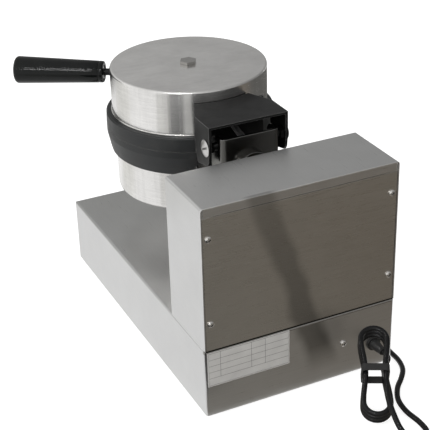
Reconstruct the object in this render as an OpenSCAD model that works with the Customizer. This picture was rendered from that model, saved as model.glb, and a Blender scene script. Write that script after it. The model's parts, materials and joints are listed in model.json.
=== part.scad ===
// Rotary waffle baker: a flat folded base, a rear column, and a round baking head
// that turns half over on a hollow shaft and opens on a hinge behind the plates.
// Millimetres, +Z up, the controls face -Y and the rear panel faces +Y.

/* [Base] */
// Width of the base, side to side
base_w = 250; // [230:1:300]
// Length of the base, front to back
base_l = 426; // [400:1:480]
// Height of the base shell above its feet
base_h = 88; // [80:1:110]
// Thickness of the folded stainless sheet
sheet_t = 1.2; // [0.8:0.1:1.6]
// Outer radius of the sheet's folds
fold_r = 3; // [2:0.5:5]
// Width of the inward lip round the base's open underside
lip_w = 14; // [12:1:18]
// Height of a rubber foot
foot_h = 8; // [6:1:12]
// Diameter of a rubber foot
foot_d = 24; // [20:1:30]
// Distance from the shell's sides to a foot's centre
foot_inset = 32; // [30:1:45]

/* [Column] */
// Depth of the rear column, front to back
column_d = 95; // [90:1:110]
// Height of the rear column above the base
column_h = 181; // [178:1:200]
// How far the column's sides stand in from the base's sides
column_inset = 0.5; // [0.3:0.1:2]
// How far the rear panel stands in from the column's rear edge
panel_recess = 0.8; // [0.5:0.1:1.5]
// Gap between the rear panel and the folded edges round it
panel_gap = 0.8; // [0.5:0.1:1.5]

/* [Head] */
// Height of the plates' parting plane above the base's top
split_up = 148; // [146:1:156]
// Radius of the upper steel cup
upper_cup_r = 100; // [96:0.5:104]
// How far the plates' black rims stand out past the upper cup
rim_over = 8; // [5:0.5:9]
// How much smaller the lower steel cup's radius is than the upper one's
lower_cup_in = 3; // [2:0.5:6]
// Height of the upper cup's top above the parting plane
upper_cup_up = 75.7; // [74:0.1:76]
// Depth of the lower cup's bottom below the parting plane
lower_cup_down = 87; // [80:0.5:90]
// Height of the upper plate's black rim
upper_rim_h = 18.5; // [17:0.5:20]
// Height of the lower plate's black rim
lower_rim_h = 33; // [30:0.5:36]
// Distance from the upper cup's side in to the edge of the round waffle
waffle_in = 8; // [6:1:12]
// Depth of each plate's cavity
cavity_h = 15; // [14:0.5:16]
// Height of a stud of the waffle grid
stud_h = 12; // [10:0.5:12.5]
// Distance from stud to stud
stud_pitch = 19; // [17:0.5:22]
// Width of a stud
stud_w = 11; // [9:0.5:13]

/* [Hinge and shaft] */
// Gap between the carrier's rear face and the column's front
carrier_clear = 30; // [28:0.5:40]
// Distance from the carrier's rear face forward to the lid's hinge axis
hinge_fore = 15; // [14:0.5:17]
// Distance from the upper cup's side back to the lid's hinge axis
hinge_out = 59; // [57:0.5:62]
// Height of the hinge axis above the parting plane
hinge_up = 32; // [30:0.5:34]
// Width over the black bracket
bracket_w = 104; // [102:1:110]
// Height of the bracket's top above the parting plane
bracket_up = 61; // [60:0.5:62]
// Distance from the hinge axis back to the bracket's rear edge
bracket_behind = 10; // [9:0.5:11]
// Thickness of the bracket's steel
bracket_t = 3; // [2.5:0.5:4]
// Width over the steel carrier channel
carrier_w = 78; // [74:1:80]
// Thickness of the carrier channel's steel
carrier_t = 4; // [3:0.5:4]
// Diameter of the hollow turning shaft
shaft_d = 25; // [22:1:25]
// Diameter of the shaft's wiring bore
shaft_bore_d = 17; // [14:1:17]
// Diameter of a hinge bolt's shank
hinge_d = 10; // [8:1:10]
// Diameter of a hinge bolt's slotted head
hinge_head_d = 21; // [18:1:22]

/* [Handle] */
// Angle of the handle round the head, from the front towards +X
handle_angle = 56.5; // [45:0.5:60]
// Height of the handle's axis above the parting plane
handle_up = 60.5; // [56:0.5:62]
// Gap between the upper cup's side and the grip's near end
grip_gap = 9.8; // [7:0.1:12]
// Length of the grip
grip_l = 117; // [100:1:130]
// Diameter of the grip at its near end
grip_near_d = 27.7; // [25:0.1:30]
// Diameter of the grip at its far end
grip_far_d = 35.2; // [32:0.1:38]

/* [Controls] */
// Distance from the middle of the front to each knob
knob_x = 78; // [70:1:82]
// Diameter of a knob's skirt
knob_d = 44; // [38:1:48]
// How far a knob stands out from the front
knob_h = 20; // [16:1:24]
// Width of the power switch's frame
switch_w = 21; // [19:1:24]
// Height of the power switch's frame
switch_h = 31; // [29:1:34]
// Distance from the middle of the front to each pilot lamp
lamp_x = 30; // [26:1:34]
// Tilt of the rocker from its middle to either side, in degrees
rocker_tilt = 9; // [6:1:10]

/* [Mains lead] */
// Diameter of the mains lead
cord_d = 6.5; // [6:0.5:7]

/* [Hidden] */
$fn = 64;

// Shared clearances and small sizes
cut = 1;            // how far a cut runs past the surface that it opens
seat_gap = 0.1;     // gap between two pieces that are clamped together
run_gap = 0.05;     // radial gap of a shaft or bolt in its bore
slip_gap = 0.3;     // gap between pieces that pass or sit loosely
room = 1;           // gap where nothing guides the two pieces
fuse = 1;           // how far two shapes of one solid run into each other

// Heights
base_top = foot_h + base_h;
split_z = base_top + split_up;
control_z = foot_h + base_h / 2;
column_top = base_top + column_h;

// Places front to back
front_y = -base_l / 2;
rear_y = base_l / 2;
column_front = rear_y - column_d;
column_mid = column_front + column_d / 2;
carrier_back = column_front - carrier_clear;
hinge_back = carrier_back - hinge_fore;
bracket_back = hinge_back + bracket_behind;
cup_back = hinge_back - hinge_out;
head_y = cup_back - upper_cup_r;
stand_behind = 30;
bush_rim_t = 3;
shaft_past = 14;
stand_rear = rear_y - stand_behind;
shaft_end = stand_rear + bush_rim_t + shaft_past;

// Radii of the head
rim_r = upper_cup_r + rim_over;
lower_cup_r = upper_cup_r - lower_cup_in;
waffle_r = upper_cup_r - waffle_in;
grip_start = upper_cup_r + grip_gap;

// The frame's origin is the middle of the outline, so the base stands a little to one side of it
handle_end_r = grip_start + grip_l;
reach_x = handle_end_r * sin(handle_angle) + grip_far_d / 2 * cos(handle_angle);
reach_front = -front_y + knob_h;
screw_head_h = 2.6;
reach_rear = rear_y + screw_head_h;
frame_x = (base_w / 2 - reach_x) / 2;
frame_y = (reach_front - reach_rear) / 2;

steel = [0.74, 0.74, 0.73];
dark_steel = [0.42, 0.41, 0.39];
bright_steel = [0.86, 0.86, 0.85];
black_paint = [0.13, 0.13, 0.14];
black_plastic = [0.07, 0.07, 0.07];
zinc = [0.70, 0.71, 0.72];
bronze = [0.72, 0.53, 0.28];
brass = [0.80, 0.66, 0.32];
ceramic = [0.90, 0.87, 0.80];
rubber = [0.09, 0.09, 0.09];

module placed() {
    translate([frame_x, frame_y, 0]) children();
}

// Shared shapes

// Rectangle centred on the origin with round corners
module round_rect(w, l, r) {
    square([w - 2 * r, l], center = true);
    square([w, l - 2 * r], center = true);
    for (sx = [-1, 1], sy = [-1, 1])
        translate([sx * (w / 2 - r), sy * (l / 2 - r)]) circle(r = r);
}

// Upright rectangle on the axis with its two upper corners round
module arch_rect(w, h, r) {
    translate([-w / 2, 0]) square([w, h - r]);
    translate([r - w / 2, 0]) square([w - 2 * r, h]);
    for (s = [-1, 1]) translate([s * (w / 2 - r), h - r]) circle(r = r);
}

// Box with its upright edges and its top edges folded round
module folded_block(w, l, h, r) {
    intersection() {
        linear_extrude(h) round_rect(w, l, r);
        rotate([90, 0, 0]) linear_extrude(l + 2 * cut, center = true) arch_rect(w, h, r);
        rotate([90, 0, 90]) linear_extrude(w + 2 * cut, center = true) arch_rect(l, h, r);
    }
}

// Hexagonal prism by its width across flats
module hex_prism(af, h) {
    cylinder(r = af / 2 / cos(30), h = h, $fn = 6);
}

// Cylinder that starts at the origin and points along +Y
module rod_y(r, l) {
    rotate([-90, 0, 0]) cylinder(r = r, h = l);
}

// Cylinder centred on the origin along X
module rod_x(r, l) {
    rotate([0, 90, 0]) cylinder(r = r, h = l, center = true);
}

// Solid of revolution that leaves a half profile's place in 2D: a cylinder with a round outer edge
module cup_section(r, h, edge) {
    square([r, h - edge]);
    square([r - edge, h]);
    translate([r - edge, h - edge]) circle(r = edge);
}

// Round tube swept along points: sides round it, one ring at each point, flat end caps
function unit(v) = v / norm(v);
function tangent(p, i) =
    unit(p[min(i + 1, len(p) - 1)] - p[max(i - 1, 0)]);
function carried(u, t) = unit(u - (u * t) * t);
function first_side(t) = carried(abs(t[2]) < 0.8 ? [0, 0, 1] : [1, 0, 0], t);
function sides_along(p, i = 0, u = undef) =
    i == len(p) ? [] :
    let (t = tangent(p, i), s = is_undef(u) ? first_side(t) : carried(u, t))
    concat([s], sides_along(p, i + 1, s));
function ring_points(p, r, sides) =
    let (across = sides_along(p))
    [for (i = [0 : len(p) - 1], k = [0 : sides - 1])
        let (t = tangent(p, i), u = across[i], v = cross(t, u), a = 360 * k / sides)
        p[i] + r * (cos(a) * u + sin(a) * v)];
module swept_tube(p, r, sides) {
    n = len(p);
    polyhedron(
        points = ring_points(p, r, sides),
        faces = concat(
            [[for (k = [0 : sides - 1]) k]],
            [[for (k = [0 : sides - 1]) n * sides - 1 - k]],
            [for (i = [0 : n - 2], k = [0 : sides - 1])
                let (a = i * sides + k, b = i * sides + (k + 1) % sides)
                [a, a + sides, b + sides]],
            [for (i = [0 : n - 2], k = [0 : sides - 1])
                let (a = i * sides + k, b = i * sides + (k + 1) % sides)
                [a, b + sides, b]]
        )
    );
}

// Smooth points through chosen ones: a Catmull-Rom curve with steps points on each span
function curve_at(a, b, c, d, t) =
    0.5 * ((2 * b) + (c - a) * t + (2 * a - 5 * b + 4 * c - d) * t * t
        + (3 * b - a - 3 * c + d) * t * t * t);
function smooth(p, steps) =
    let (n = len(p))
    concat(
        [for (i = [0 : n - 2], k = [0 : steps - 1])
            curve_at(
                p[max(i - 1, 0)], p[i], p[i + 1], p[min(i + 2, n - 1)], k / steps)],
        [p[n - 1]]
    );

// Base

lip_z = foot_h + sheet_t + seat_gap;
inner_w = base_w - 2 * sheet_t;
inner_l = base_l - 2 * sheet_t;
spindle_d = 6;
spindle_hole_d = 10;
control_screw_d = 4;
control_screw_x = 14;
lamp_d = 9.6;
lamp_z = control_z + 12;
m4_d = 4;
m4_hole_d = 4.3;
screw_head_d = 8;
stand_bolt_d = 8;
stand_bolt_x = 54;
stand_bolt_y = 15;
wire_hole_d = 26;
earth_x = -56;
earth_z = foot_h + 45;
boot_in = 27;
boot_x = boot_in - base_w / 2;
boot_z = 40.5;
boot_d = 14;
plate_screw_share = [-0.42, 0, 0.42];
plate_screw_inset = sheet_t + lip_w / 2;
foot_screw_d = 5;
foot_screw_head_d = 9;
foot_screw_head_h = 3;

module at_feet() {
    for (sx = [-1, 1], sy = [-1, 1])
        translate([sx * (base_w / 2 - foot_inset), sy * (base_l / 2 - foot_inset), 0]) children();
}
module at_plate_screws() {
    for (sx = [-1, 1], share = plate_screw_share)
        translate([sx * (base_w / 2 - plate_screw_inset), share * base_l, foot_h]) children();
}
module at_stand_bolts() {
    for (sx = [-1, 1], sy = [-1, 1])
        translate([sx * stand_bolt_x, column_mid + sy * stand_bolt_y, 0]) children();
}

module base_housing() placed() color(steel) {
    difference() {
        union() {
            translate([0, 0, foot_h]) difference() {
                folded_block(base_w, base_l, base_h, fold_r);
                translate([0, 0, -cut])
                    folded_block(inner_w, inner_l, base_h - sheet_t + cut, fold_r - sheet_t);
            }
            translate([0, 0, lip_z]) linear_extrude(sheet_t) difference() {
                round_rect(base_w - sheet_t, base_l - sheet_t, fold_r);
                square([inner_w - 2 * lip_w, inner_l - 2 * lip_w], center = true);
            }
        }
        for (s = [-1, 1]) {
            translate([s * knob_x, front_y - cut, control_z])
                rod_y(spindle_hole_d / 2, sheet_t + 2 * cut);
            translate([s * lamp_x, front_y - cut, lamp_z])
                rod_y(lamp_d / 2 + run_gap, sheet_t + 2 * cut);
            for (sz = [-1, 1])
                translate([s * knob_x + sz * control_screw_x, front_y - cut, control_z])
                    rod_y(control_screw_d / 2 + slip_gap / 2, sheet_t + 2 * cut);
        }
        translate([0, front_y + sheet_t / 2, control_z])
            cube([switch_body_w + slip_gap, sheet_t + 2 * cut, switch_body_h + slip_gap],
                center = true);
        translate([boot_x, rear_y - sheet_t - cut, boot_z])
            rod_y(boot_neck_d / 2 + seat_gap, sheet_t + 2 * cut);
        translate([earth_x, rear_y - sheet_t - cut, earth_z])
            rod_y(m4_hole_d / 2, sheet_t + 2 * cut);
        at_stand_bolts() translate([0, 0, base_top - sheet_t - cut])
            cylinder(r = stand_bolt_d / 2 + slip_gap, h = sheet_t + 2 * cut);
        translate([0, column_mid, base_top - sheet_t - cut])
            cylinder(r = wire_hole_d / 2, h = sheet_t + 2 * cut);
        at_plate_screws() cylinder(r = m4_hole_d / 2, h = lip_z - foot_h + sheet_t + cut);
    }
}

vent_w = 5;
vent_l = 60;
vent_pitch = 14;
vents = 7;
vent_rows_share = [-0.22, 0.14];
module bottom_plate() placed() color(steel) {
    difference() {
        translate([0, 0, foot_h]) linear_extrude(sheet_t)
            round_rect(inner_w - slip_gap, inner_l - slip_gap, fold_r - sheet_t);
        at_feet() cylinder(r = foot_screw_d / 2 + slip_gap / 2, h = foot_h + 2 * sheet_t);
        at_plate_screws() translate([0, 0, -cut])
            cylinder(r = m4_hole_d / 2, h = sheet_t + 2 * cut);
        for (share = vent_rows_share, i = [0 : vents - 1])
            translate([(i - (vents - 1) / 2) * vent_pitch, share * base_l, foot_h - cut])
                linear_extrude(sheet_t + 2 * cut) round_rect(vent_w, vent_l, vent_w / 2 - seat_gap);
    }
}

module rubber_feet() placed() color(rubber) at_feet() difference() {
    rotate_extrude() cup_section(foot_d / 2, foot_h, fold_r / 2);
    translate([0, 0, -cut]) cylinder(r = foot_screw_head_d / 2 + slip_gap, h = foot_h / 2 + cut);
    cylinder(r = foot_screw_d / 2 + run_gap, h = foot_h + cut);
}

foot_nut_af = 8;
foot_nut_h = 4;
module foot_screws() placed() color(zinc) at_feet() {
    translate([0, 0, foot_h / 2 - foot_screw_head_h])
        cylinder(r = foot_screw_head_d / 2, h = foot_screw_head_h);
    translate([0, 0, foot_h / 2 - foot_screw_head_h])
        cylinder(r = foot_screw_d / 2, h = foot_h / 2 + foot_screw_head_h + sheet_t + foot_nut_h);
    translate([0, 0, foot_h + sheet_t]) hex_prism(foot_nut_af, foot_nut_h);
}

// Pan head screw that points along +Z from under its head, with a cross recess
module pan_screw(d, head_d, head_h, l) {
    recess = head_d / 4.5;
    difference() {
        translate([0, 0, -head_h]) intersection() {
            cylinder(r = head_d / 2, h = head_h);
            translate([0, 0, head_d * 0.8]) sphere(r = head_d * 0.8);
        }
        for (a = [0, 90]) rotate([0, 0, a])
            translate([0, 0, -head_h]) cube([head_d * 0.62, recess, 1.2 * head_h], center = true);
    }
    translate([0, 0, -head_h / 4]) cylinder(r = d / 2, h = l + head_h / 4);
}

plate_screw_l = 8;
module plate_screws() placed() color(zinc) at_plate_screws()
    pan_screw(m4_d, screw_head_d, screw_head_h, plate_screw_l);

stiffener_t = 3;
stiffener_w = 150;
stiffener_l = 80;
stiffener_z = base_top - sheet_t - stiffener_t - seat_gap;
module base_stiffener() placed() color(zinc) difference() {
    translate([0, column_mid, stiffener_z + stiffener_t / 2])
        cube([stiffener_w, stiffener_l, stiffener_t], center = true);
    at_stand_bolts() translate([0, 0, stiffener_z - cut])
        cylinder(r = stand_bolt_d / 2 + slip_gap, h = stiffener_t + 2 * cut);
    translate([0, column_mid, stiffener_z - cut])
        cylinder(r = wire_hole_d / 2, h = stiffener_t + 2 * cut);
}

plate_w = 105;
plate_h = 46;
plate_t = 0.5;
plate_side_gap = 2.7;
plate_top_gap = 1.5;
plate_x = base_w / 2 - plate_side_gap - plate_w / 2;
module rating_plate() placed() color(bright_steel)
    translate([plate_x, rear_y + seat_gap, base_top - plate_top_gap - plate_h / 2])
        rotate([-90, 0, 0]) linear_extrude(plate_t) round_rect(plate_w, plate_h, plate_t);

// Controls

inner_front = front_y + sheet_t + seat_gap;
thermostat_w = 42;
thermostat_depth = 34;
timer_d = 46;
timer_depth = 40;
spindle_l = 12;
spindle_in = 8;
module at_control(side) {
    translate([side * knob_x, 0, control_z]) children();
}
// Holes that a control's body has for its spindle and its two screws
module control_bores() {
    screw_in = 8;
    translate([0, inner_front - cut, 0]) rod_y(spindle_d / 2 + run_gap, spindle_in + cut);
    for (s = [-1, 1]) translate([s * control_screw_x, inner_front - cut, 0])
        rod_y(control_screw_d / 2 + run_gap, screw_in + cut);
}
module thermostat_body() placed() color(ceramic) at_control(-1) difference() {
    translate([0, inner_front + thermostat_depth / 2, 0])
        cube([thermostat_w, thermostat_depth, thermostat_w], center = true);
    control_bores();
}
module timer_body() placed() color(bright_steel) at_control(1) difference() {
    union() {
        translate([0, inner_front, 0]) rod_y(timer_d / 2, timer_depth);
        translate([0, inner_front + sheet_t, 0])
            cube([timer_d, 2 * sheet_t, timer_d * 0.8], center = true);
    }
    control_bores();
}
control_screw_l = 6;
control_head_d = 7;
control_head_h = 2;
module control_screws() placed() color(zinc) for (s = [-1, 1], t = [-1, 1])
    at_control(s) translate([t * control_screw_x, front_y - seat_gap, 0]) rotate([-90, 0, 0])
        pan_screw(control_screw_d, control_head_d, control_head_h, control_screw_l);

knob_gap = 3;
knob_grip_d = knob_d * 0.8;
knob_skirt_h = 4;
flutes = 16;
knob_edge_r = 2;
pointer_w = 2;
pointer_deep = 0.6;
// Knob with its spindle along -Y from the front panel
module knob() {
    flute_r = knob_grip_d * 0.07;
    grip_h = knob_h - knob_gap - knob_skirt_h;
    translate([0, front_y - knob_gap, 0]) rotate([90, 0, 0]) difference() {
        union() {
            rotate_extrude() cup_section(knob_d / 2, knob_skirt_h, knob_skirt_h / 4);
            translate([0, 0, knob_skirt_h - knob_skirt_h / 4])
                rotate_extrude() cup_section(knob_grip_d / 2, grip_h + knob_skirt_h / 4, knob_edge_r);
        }
        for (i = [0 : flutes - 1]) rotate([0, 0, 360 * (i + 0.5) / flutes])
            translate([knob_grip_d / 2 + flute_r / 2, 0, knob_skirt_h])
                cylinder(r = flute_r, h = grip_h + cut, $fn = 32);
        // pointer groove from the middle of the top to its edge
        translate([0, knob_grip_d / 4, knob_h - knob_gap])
            cube([pointer_w, knob_grip_d / 2, 2 * pointer_deep], center = true);
        translate([0, 0, -cut]) cylinder(r = spindle_d / 2 + seat_gap, h = spindle_l - knob_gap + cut);
    }
    translate([0, front_y - spindle_l + slip_gap, 0])
        rod_y(spindle_d / 2, spindle_l + sheet_t + spindle_in - 2 * slip_gap);
}
module thermostat_knob() placed() color(black_plastic) at_control(-1) knob();
module timer_knob() placed() color(black_plastic) at_control(1) knob();

switch_body_w = 18;
switch_body_h = 27;
switch_depth = 26;
switch_frame_t = 2;
paddle_w = 14;
paddle_h = 23;
paddle_in = 6;
paddle_side_gap = 0.5;
paddle_end_gap = 1;
module switch_body() placed() color(black_plastic) difference() {
    union() {
        translate([0, front_y - switch_frame_t / 2 - seat_gap, control_z])
            rotate([90, 0, 0]) linear_extrude(switch_frame_t, center = true)
                round_rect(switch_w, switch_h, switch_frame_t);
        translate([0, front_y + switch_depth / 2 - switch_frame_t, control_z])
            cube([switch_body_w, switch_depth, switch_body_h], center = true);
    }
    translate([0, front_y + paddle_in / 2 - switch_frame_t, control_z])
        cube([paddle_w + 2 * paddle_side_gap, 2 * paddle_in + 2 * switch_frame_t,
                paddle_h + 2 * paddle_end_gap], center = true);
}
// The rocker's side view is a shallow V in front and a narrower back
module switch_rocker() placed() color([0.6, 0.05, 0.04])
    translate([0, front_y, control_z]) rotate([rocker_tilt, 0, 0])
        rotate([90, 0, 90]) linear_extrude(paddle_w, center = true)
            polygon([
                [-switch_frame_t * 1.6, paddle_h / 2], [-switch_frame_t, 0],
                [-switch_frame_t * 1.6, -paddle_h / 2],
                [paddle_in * 0.8, -paddle_h * 0.3], [paddle_in * 0.8, paddle_h * 0.3]
            ]);

// Round pilot lamp: barrel behind the front, thin rim and a domed lens
module pilot_lamp() {
    rim_d = 12.5;
    rim_t = 1.5;
    barrel_l = 20;
    dome_r = 6;
    translate([0, front_y - rim_t - seat_gap, lamp_z]) {
        rod_y(rim_d / 2, rim_t);
        rod_y(lamp_d / 2, rim_t + barrel_l);
        intersection() {
            translate([0, dome_r / 2, 0]) sphere(r = dome_r);
            translate([0, -dome_r, 0]) rod_y(lamp_d / 2, dome_r + rim_t);
        }
    }
}
module power_lamp() placed() color([0.75, 0.08, 0.05]) translate([-lamp_x, 0, 0]) pilot_lamp();
module heating_lamp() placed() color([0.10, 0.55, 0.18]) translate([lamp_x, 0, 0]) pilot_lamp();

// Wiring inside the base

block_w = 20;
block_l = 72;
block_h = 16;
block_x = -30;
block_y = column_front - 58;
block_z = foot_h + sheet_t + seat_gap;
block_ways = 6;
way_pitch = 11;
clamp_hole_r = 2.5;
clamp_hole_deep = 5;
function way_y(way) = (way - (block_ways - 1) / 2) * way_pitch;
module terminal_block() placed() color(ceramic) translate([block_x, block_y, block_z])
    difference() {
        translate([-block_w / 2, -block_l / 2, 0]) cube([block_w, block_l, block_h]);
        for (i = [0 : block_ways - 1])
            translate([0, way_y(i), 0]) {
                translate([0, 0, block_h - clamp_hole_deep])
                    cylinder(r = clamp_hole_r, h = clamp_hole_deep + cut);
                translate([0, 0, wire_up]) rod_x(wire_r + run_gap, block_w + 2 * cut);
            }
    }

wire_r = 1.5;
wire_sides = 6;
wire_up = 5;
wire_in = 6;
// Start of a wire on side -1 or 1 of the block: straight out of its clamp and a little past it
function from_block(way, side) = [for (out = [-wire_in, 0, wire_in / 2, wire_in])
    [block_x + side * (block_w / 2 + out), block_y + way_y(way), block_z + wire_up]];
// A place on the way from the block to the front: x, share of the way, height above the feet
function to_front(x, share, up) = [x, block_y + (front_y - block_y) * share, foot_h + up];
// Routes from the block: to the thermostat, the timer, the switch, the lead's entry and the column
wire_routes = [
    concat(from_block(0, -1), [to_front(-62, 0.1, 4.5), to_front(-74, 0.25, 4), to_front(-knob_x, 0.44, 4),
        to_front(-knob_x, 0.7, 6), [-knob_x, front_y + 45, control_z - 14],
        [-knob_x, front_y + 37, control_z]]),
    concat(from_block(1, 1), [to_front(2, 0.1, 5), to_front(26, 0.25, 4), to_front(62, 0.44, 4),
        to_front(knob_x, 0.7, 6), [knob_x, front_y + 53, control_z - 14],
        [knob_x, front_y + 43, control_z]]),
    concat(from_block(0, 1), [to_front(-6, 0.25, 4), to_front(2, 0.5, 4), to_front(2, 0.75, 6),
        [0, front_y + 31, control_z - 16], [0, front_y + 26, control_z - 8]]),
    concat(from_block(4, -1), [[-62, block_y + 28, 12], [-84, rear_y - 83, 14], [boot_x, rear_y - 48, 24],
        [boot_x, rear_y - 25, boot_z - 2], [boot_x, rear_y - 8, boot_z]]),
    concat(from_block(5, 1), [[0, block_y + 34, 16], [4, column_mid - 40, 26], [2, column_mid - 6, 58],
        [0, column_mid, base_top - 4], [6, stand_rear - 28, base_top + 34],
        [24, stand_rear - 33, split_z - 59], [50, stand_rear - 31, split_z - 44],
        [60, stand_rear - 8, split_z - 32], [46, stand_rear + 14, split_z - 16],
        [16, shaft_end + 6, split_z - 3], [0, shaft_end + 2, split_z], [0, shaft_end - 10, split_z]])
];
module base_wiring() placed() color([0.55, 0.10, 0.08])
    for (route = wire_routes) swept_tube(smooth(route, 3), wire_r, wire_sides);

// Column

return_w = 16;
column_w = base_w - 2 * column_inset;
panel_y = rear_y - panel_recess - sheet_t;
panel_w = column_w - 2 * sheet_t - 2 * panel_gap;
top_lip = 10;
panel_h = column_h - sheet_t - top_lip - 2 * panel_gap;
panel_z = base_top + panel_gap;
panel_screw_in = 8.5;
panel_screw_x = column_w / 2 - panel_screw_in;
panel_screw_up_share = [0.195, 0.79];
shaft_hole_d = 30;
column_lip = 12;
column_base = base_top + seat_gap;
module at_panel_screws() {
    for (s = [-1, 1], share = panel_screw_up_share)
        translate([s * panel_screw_x, 0, base_top + share * column_h]) children();
}
module column_housing() placed() color(steel) difference() {
    union() {
        intersection() {
            translate([0, column_mid, column_base]) difference() {
                folded_block(column_w, column_d, column_top - column_base, fold_r);
                translate([0, 0, -cut])
                    folded_block(column_w - 2 * sheet_t, column_d - 2 * sheet_t,
                        column_top - column_base - sheet_t + cut, fold_r - sheet_t);
            }
            // the wrapper is open behind the panel
            translate([-base_w / 2, column_front - cut, 0])
                cube([base_w, column_d - fold_r + cut, 2 * column_top]);
        }
        // straight rear edges of the two sides and the top
        translate([0, rear_y - fold_r - cut, 0]) rotate([-90, 0, 0]) mirror([0, 1, 0])
            linear_extrude(fold_r + cut) difference() {
                translate([0, column_base]) arch_rect(column_w, column_top - column_base, fold_r);
                translate([0, column_base - cut])
                    arch_rect(column_w - 2 * sheet_t, column_top - column_base - sheet_t + cut,
                        fold_r - sheet_t);
            }
        // returns that the rear panel is screwed to
        for (s = [-1, 1])
            translate([s * (column_w / 2 - sheet_t / 2 - return_w / 2),
                    panel_y - seat_gap - sheet_t / 2, (column_base + column_top) / 2])
                cube([return_w, sheet_t, column_top - column_base - 2 * fold_r], center = true);
        // lip of the top that closes the rear above the panel
        translate([0, panel_y + sheet_t / 2, column_top - sheet_t / 2 - top_lip / 2])
            cube([column_w - 2 * fold_r, sheet_t, top_lip + sheet_t], center = true);
        // inward foot lips that lie on the base
        for (s = [-1, 1])
            translate([s * (column_w / 2 - sheet_t / 2 - column_lip / 2), column_mid,
                    column_base + sheet_t / 2])
                cube([column_lip, column_d - 4 * fold_r, sheet_t], center = true);
    }
    translate([0, column_front - cut, split_z]) rod_y(shaft_hole_d / 2, sheet_t + 2 * cut);
    at_panel_screws() translate([0, panel_y - seat_gap - sheet_t - cut, 0])
        rod_y(m4_hole_d / 2, sheet_t + 2 * cut);
}
module rear_panel() placed() color(dark_steel) difference() {
    translate([0, panel_y, panel_z + panel_h / 2]) rotate([-90, 0, 0])
        linear_extrude(sheet_t) round_rect(panel_w, panel_h, panel_gap);
    at_panel_screws() translate([0, panel_y - cut, 0]) rod_y(m4_hole_d / 2, sheet_t + 2 * cut);
}
rear_screw_l = 9;
module rear_screws() placed() color(bright_steel) {
    at_panel_screws() translate([0, panel_y + sheet_t + seat_gap / 2, 0])
        rotate([90, 0, 0]) pan_screw(m4_d, screw_head_d, screw_head_h, rear_screw_l);
    translate([earth_x, rear_y + seat_gap / 2, earth_z])
        rotate([90, 0, 0]) pan_screw(m4_d, screw_head_d, screw_head_h, rear_screw_l);
}

// Bearing stand inside the column

stand_plate_t = 6;
stand_t = 8;
stand_w = 88;
stand_foot_w = 132;
stand_foot_l = 80;
stand_in = 5;
stand_front = column_front + sheet_t + stand_in;
bush_d = 32;
bush_rim_d = 38;
bush_l = 14;
boss_r = 30;
gusset_t = 4;
gusset_h = 70;
stop_pin_r = 4;
stop_arm_r = 4;
stop_x = 26;
stop_pin_l = 20;
stop_z = split_z - stop_arm_r - stop_pin_r - slip_gap;
stand_z = base_top + seat_gap;
module upright() {
    translate([-stand_w / 2, 0]) square([stand_w, split_z - stand_z]);
    translate([0, split_z - stand_z]) circle(r = boss_r);
}
module bearing_stand() placed() color(zinc) difference() {
    union() {
        translate([0, column_mid, stand_z + stand_plate_t / 2])
            cube([stand_foot_w, stand_foot_l, stand_plate_t], center = true);
        for (y = [stand_front, stand_rear - stand_t])
            translate([0, y + stand_t, stand_z]) rotate([90, 0, 0])
                linear_extrude(stand_t) upright();
        for (s = [-1, 1])
            translate([s * (stand_w / 2 - gusset_t / 2), (stand_front + stand_rear) / 2,
                    stand_z + (stand_plate_t + gusset_h) / 2])
                cube([gusset_t, stand_rear - stand_front - stand_t, stand_plate_t + gusset_h],
                    center = true);
    }
    translate([0, stand_front - cut, split_z])
        rod_y(bush_d / 2 + run_gap, stand_rear - stand_front + 2 * cut);
    for (s = [-1, 1]) translate([s * stop_x, stand_rear - stand_t - cut, stop_z])
        rod_y(stop_pin_r + run_gap, stand_t + 2 * cut);
    at_stand_bolts() translate([0, 0, stand_z - cut])
        cylinder(r = stand_bolt_d / 2 + slip_gap, h = stand_plate_t + 2 * cut);
    translate([0, column_mid, stand_z - cut])
        cylinder(r = wire_hole_d / 2, h = stand_plate_t + 2 * cut);
}
m8_af = 13;
m8_head_h = 5.3;
m8_nut_h = 6.5;
bolt_over = 2;
module stand_bolts() placed() color(zinc) at_stand_bolts() {
    translate([0, 0, stand_z + stand_plate_t + seat_gap]) hex_prism(m8_af, m8_head_h);
    translate([0, 0, stiffener_z - m8_nut_h - bolt_over])
        cylinder(r = stand_bolt_d / 2,
            h = stand_z + stand_plate_t + seat_gap + m8_head_h / 2 - stiffener_z + m8_nut_h
                + bolt_over);
    translate([0, 0, stiffener_z - seat_gap - m8_nut_h]) hex_prism(m8_af, m8_nut_h);
}
module bush() {
    difference() {
        union() {
            rod_y(bush_d / 2, bush_l);
            translate([0, -bush_rim_t, 0]) rod_y(bush_rim_d / 2, bush_rim_t - run_gap);
            translate([0, -bush_rim_t, 0]) rod_y(bush_d / 2, bush_rim_t);
        }
        translate([0, -bush_rim_t - cut, 0]) rod_y(shaft_d / 2 + run_gap, bush_l + bush_rim_t + 2 * cut);
    }
}
module shaft_bushes() placed() color(bronze) {
    translate([0, stand_front, split_z]) bush();
    translate([0, stand_rear, split_z]) mirror([0, 1, 0]) bush();
}
module stop_pins() placed() color(bright_steel) for (s = [-1, 1])
    translate([s * stop_x, stand_rear - stop_pin_l - stand_t, stop_z])
        rod_y(stop_pin_r, stop_pin_l + stand_t);

// Turning head: shaft, collars and carrier

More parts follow.
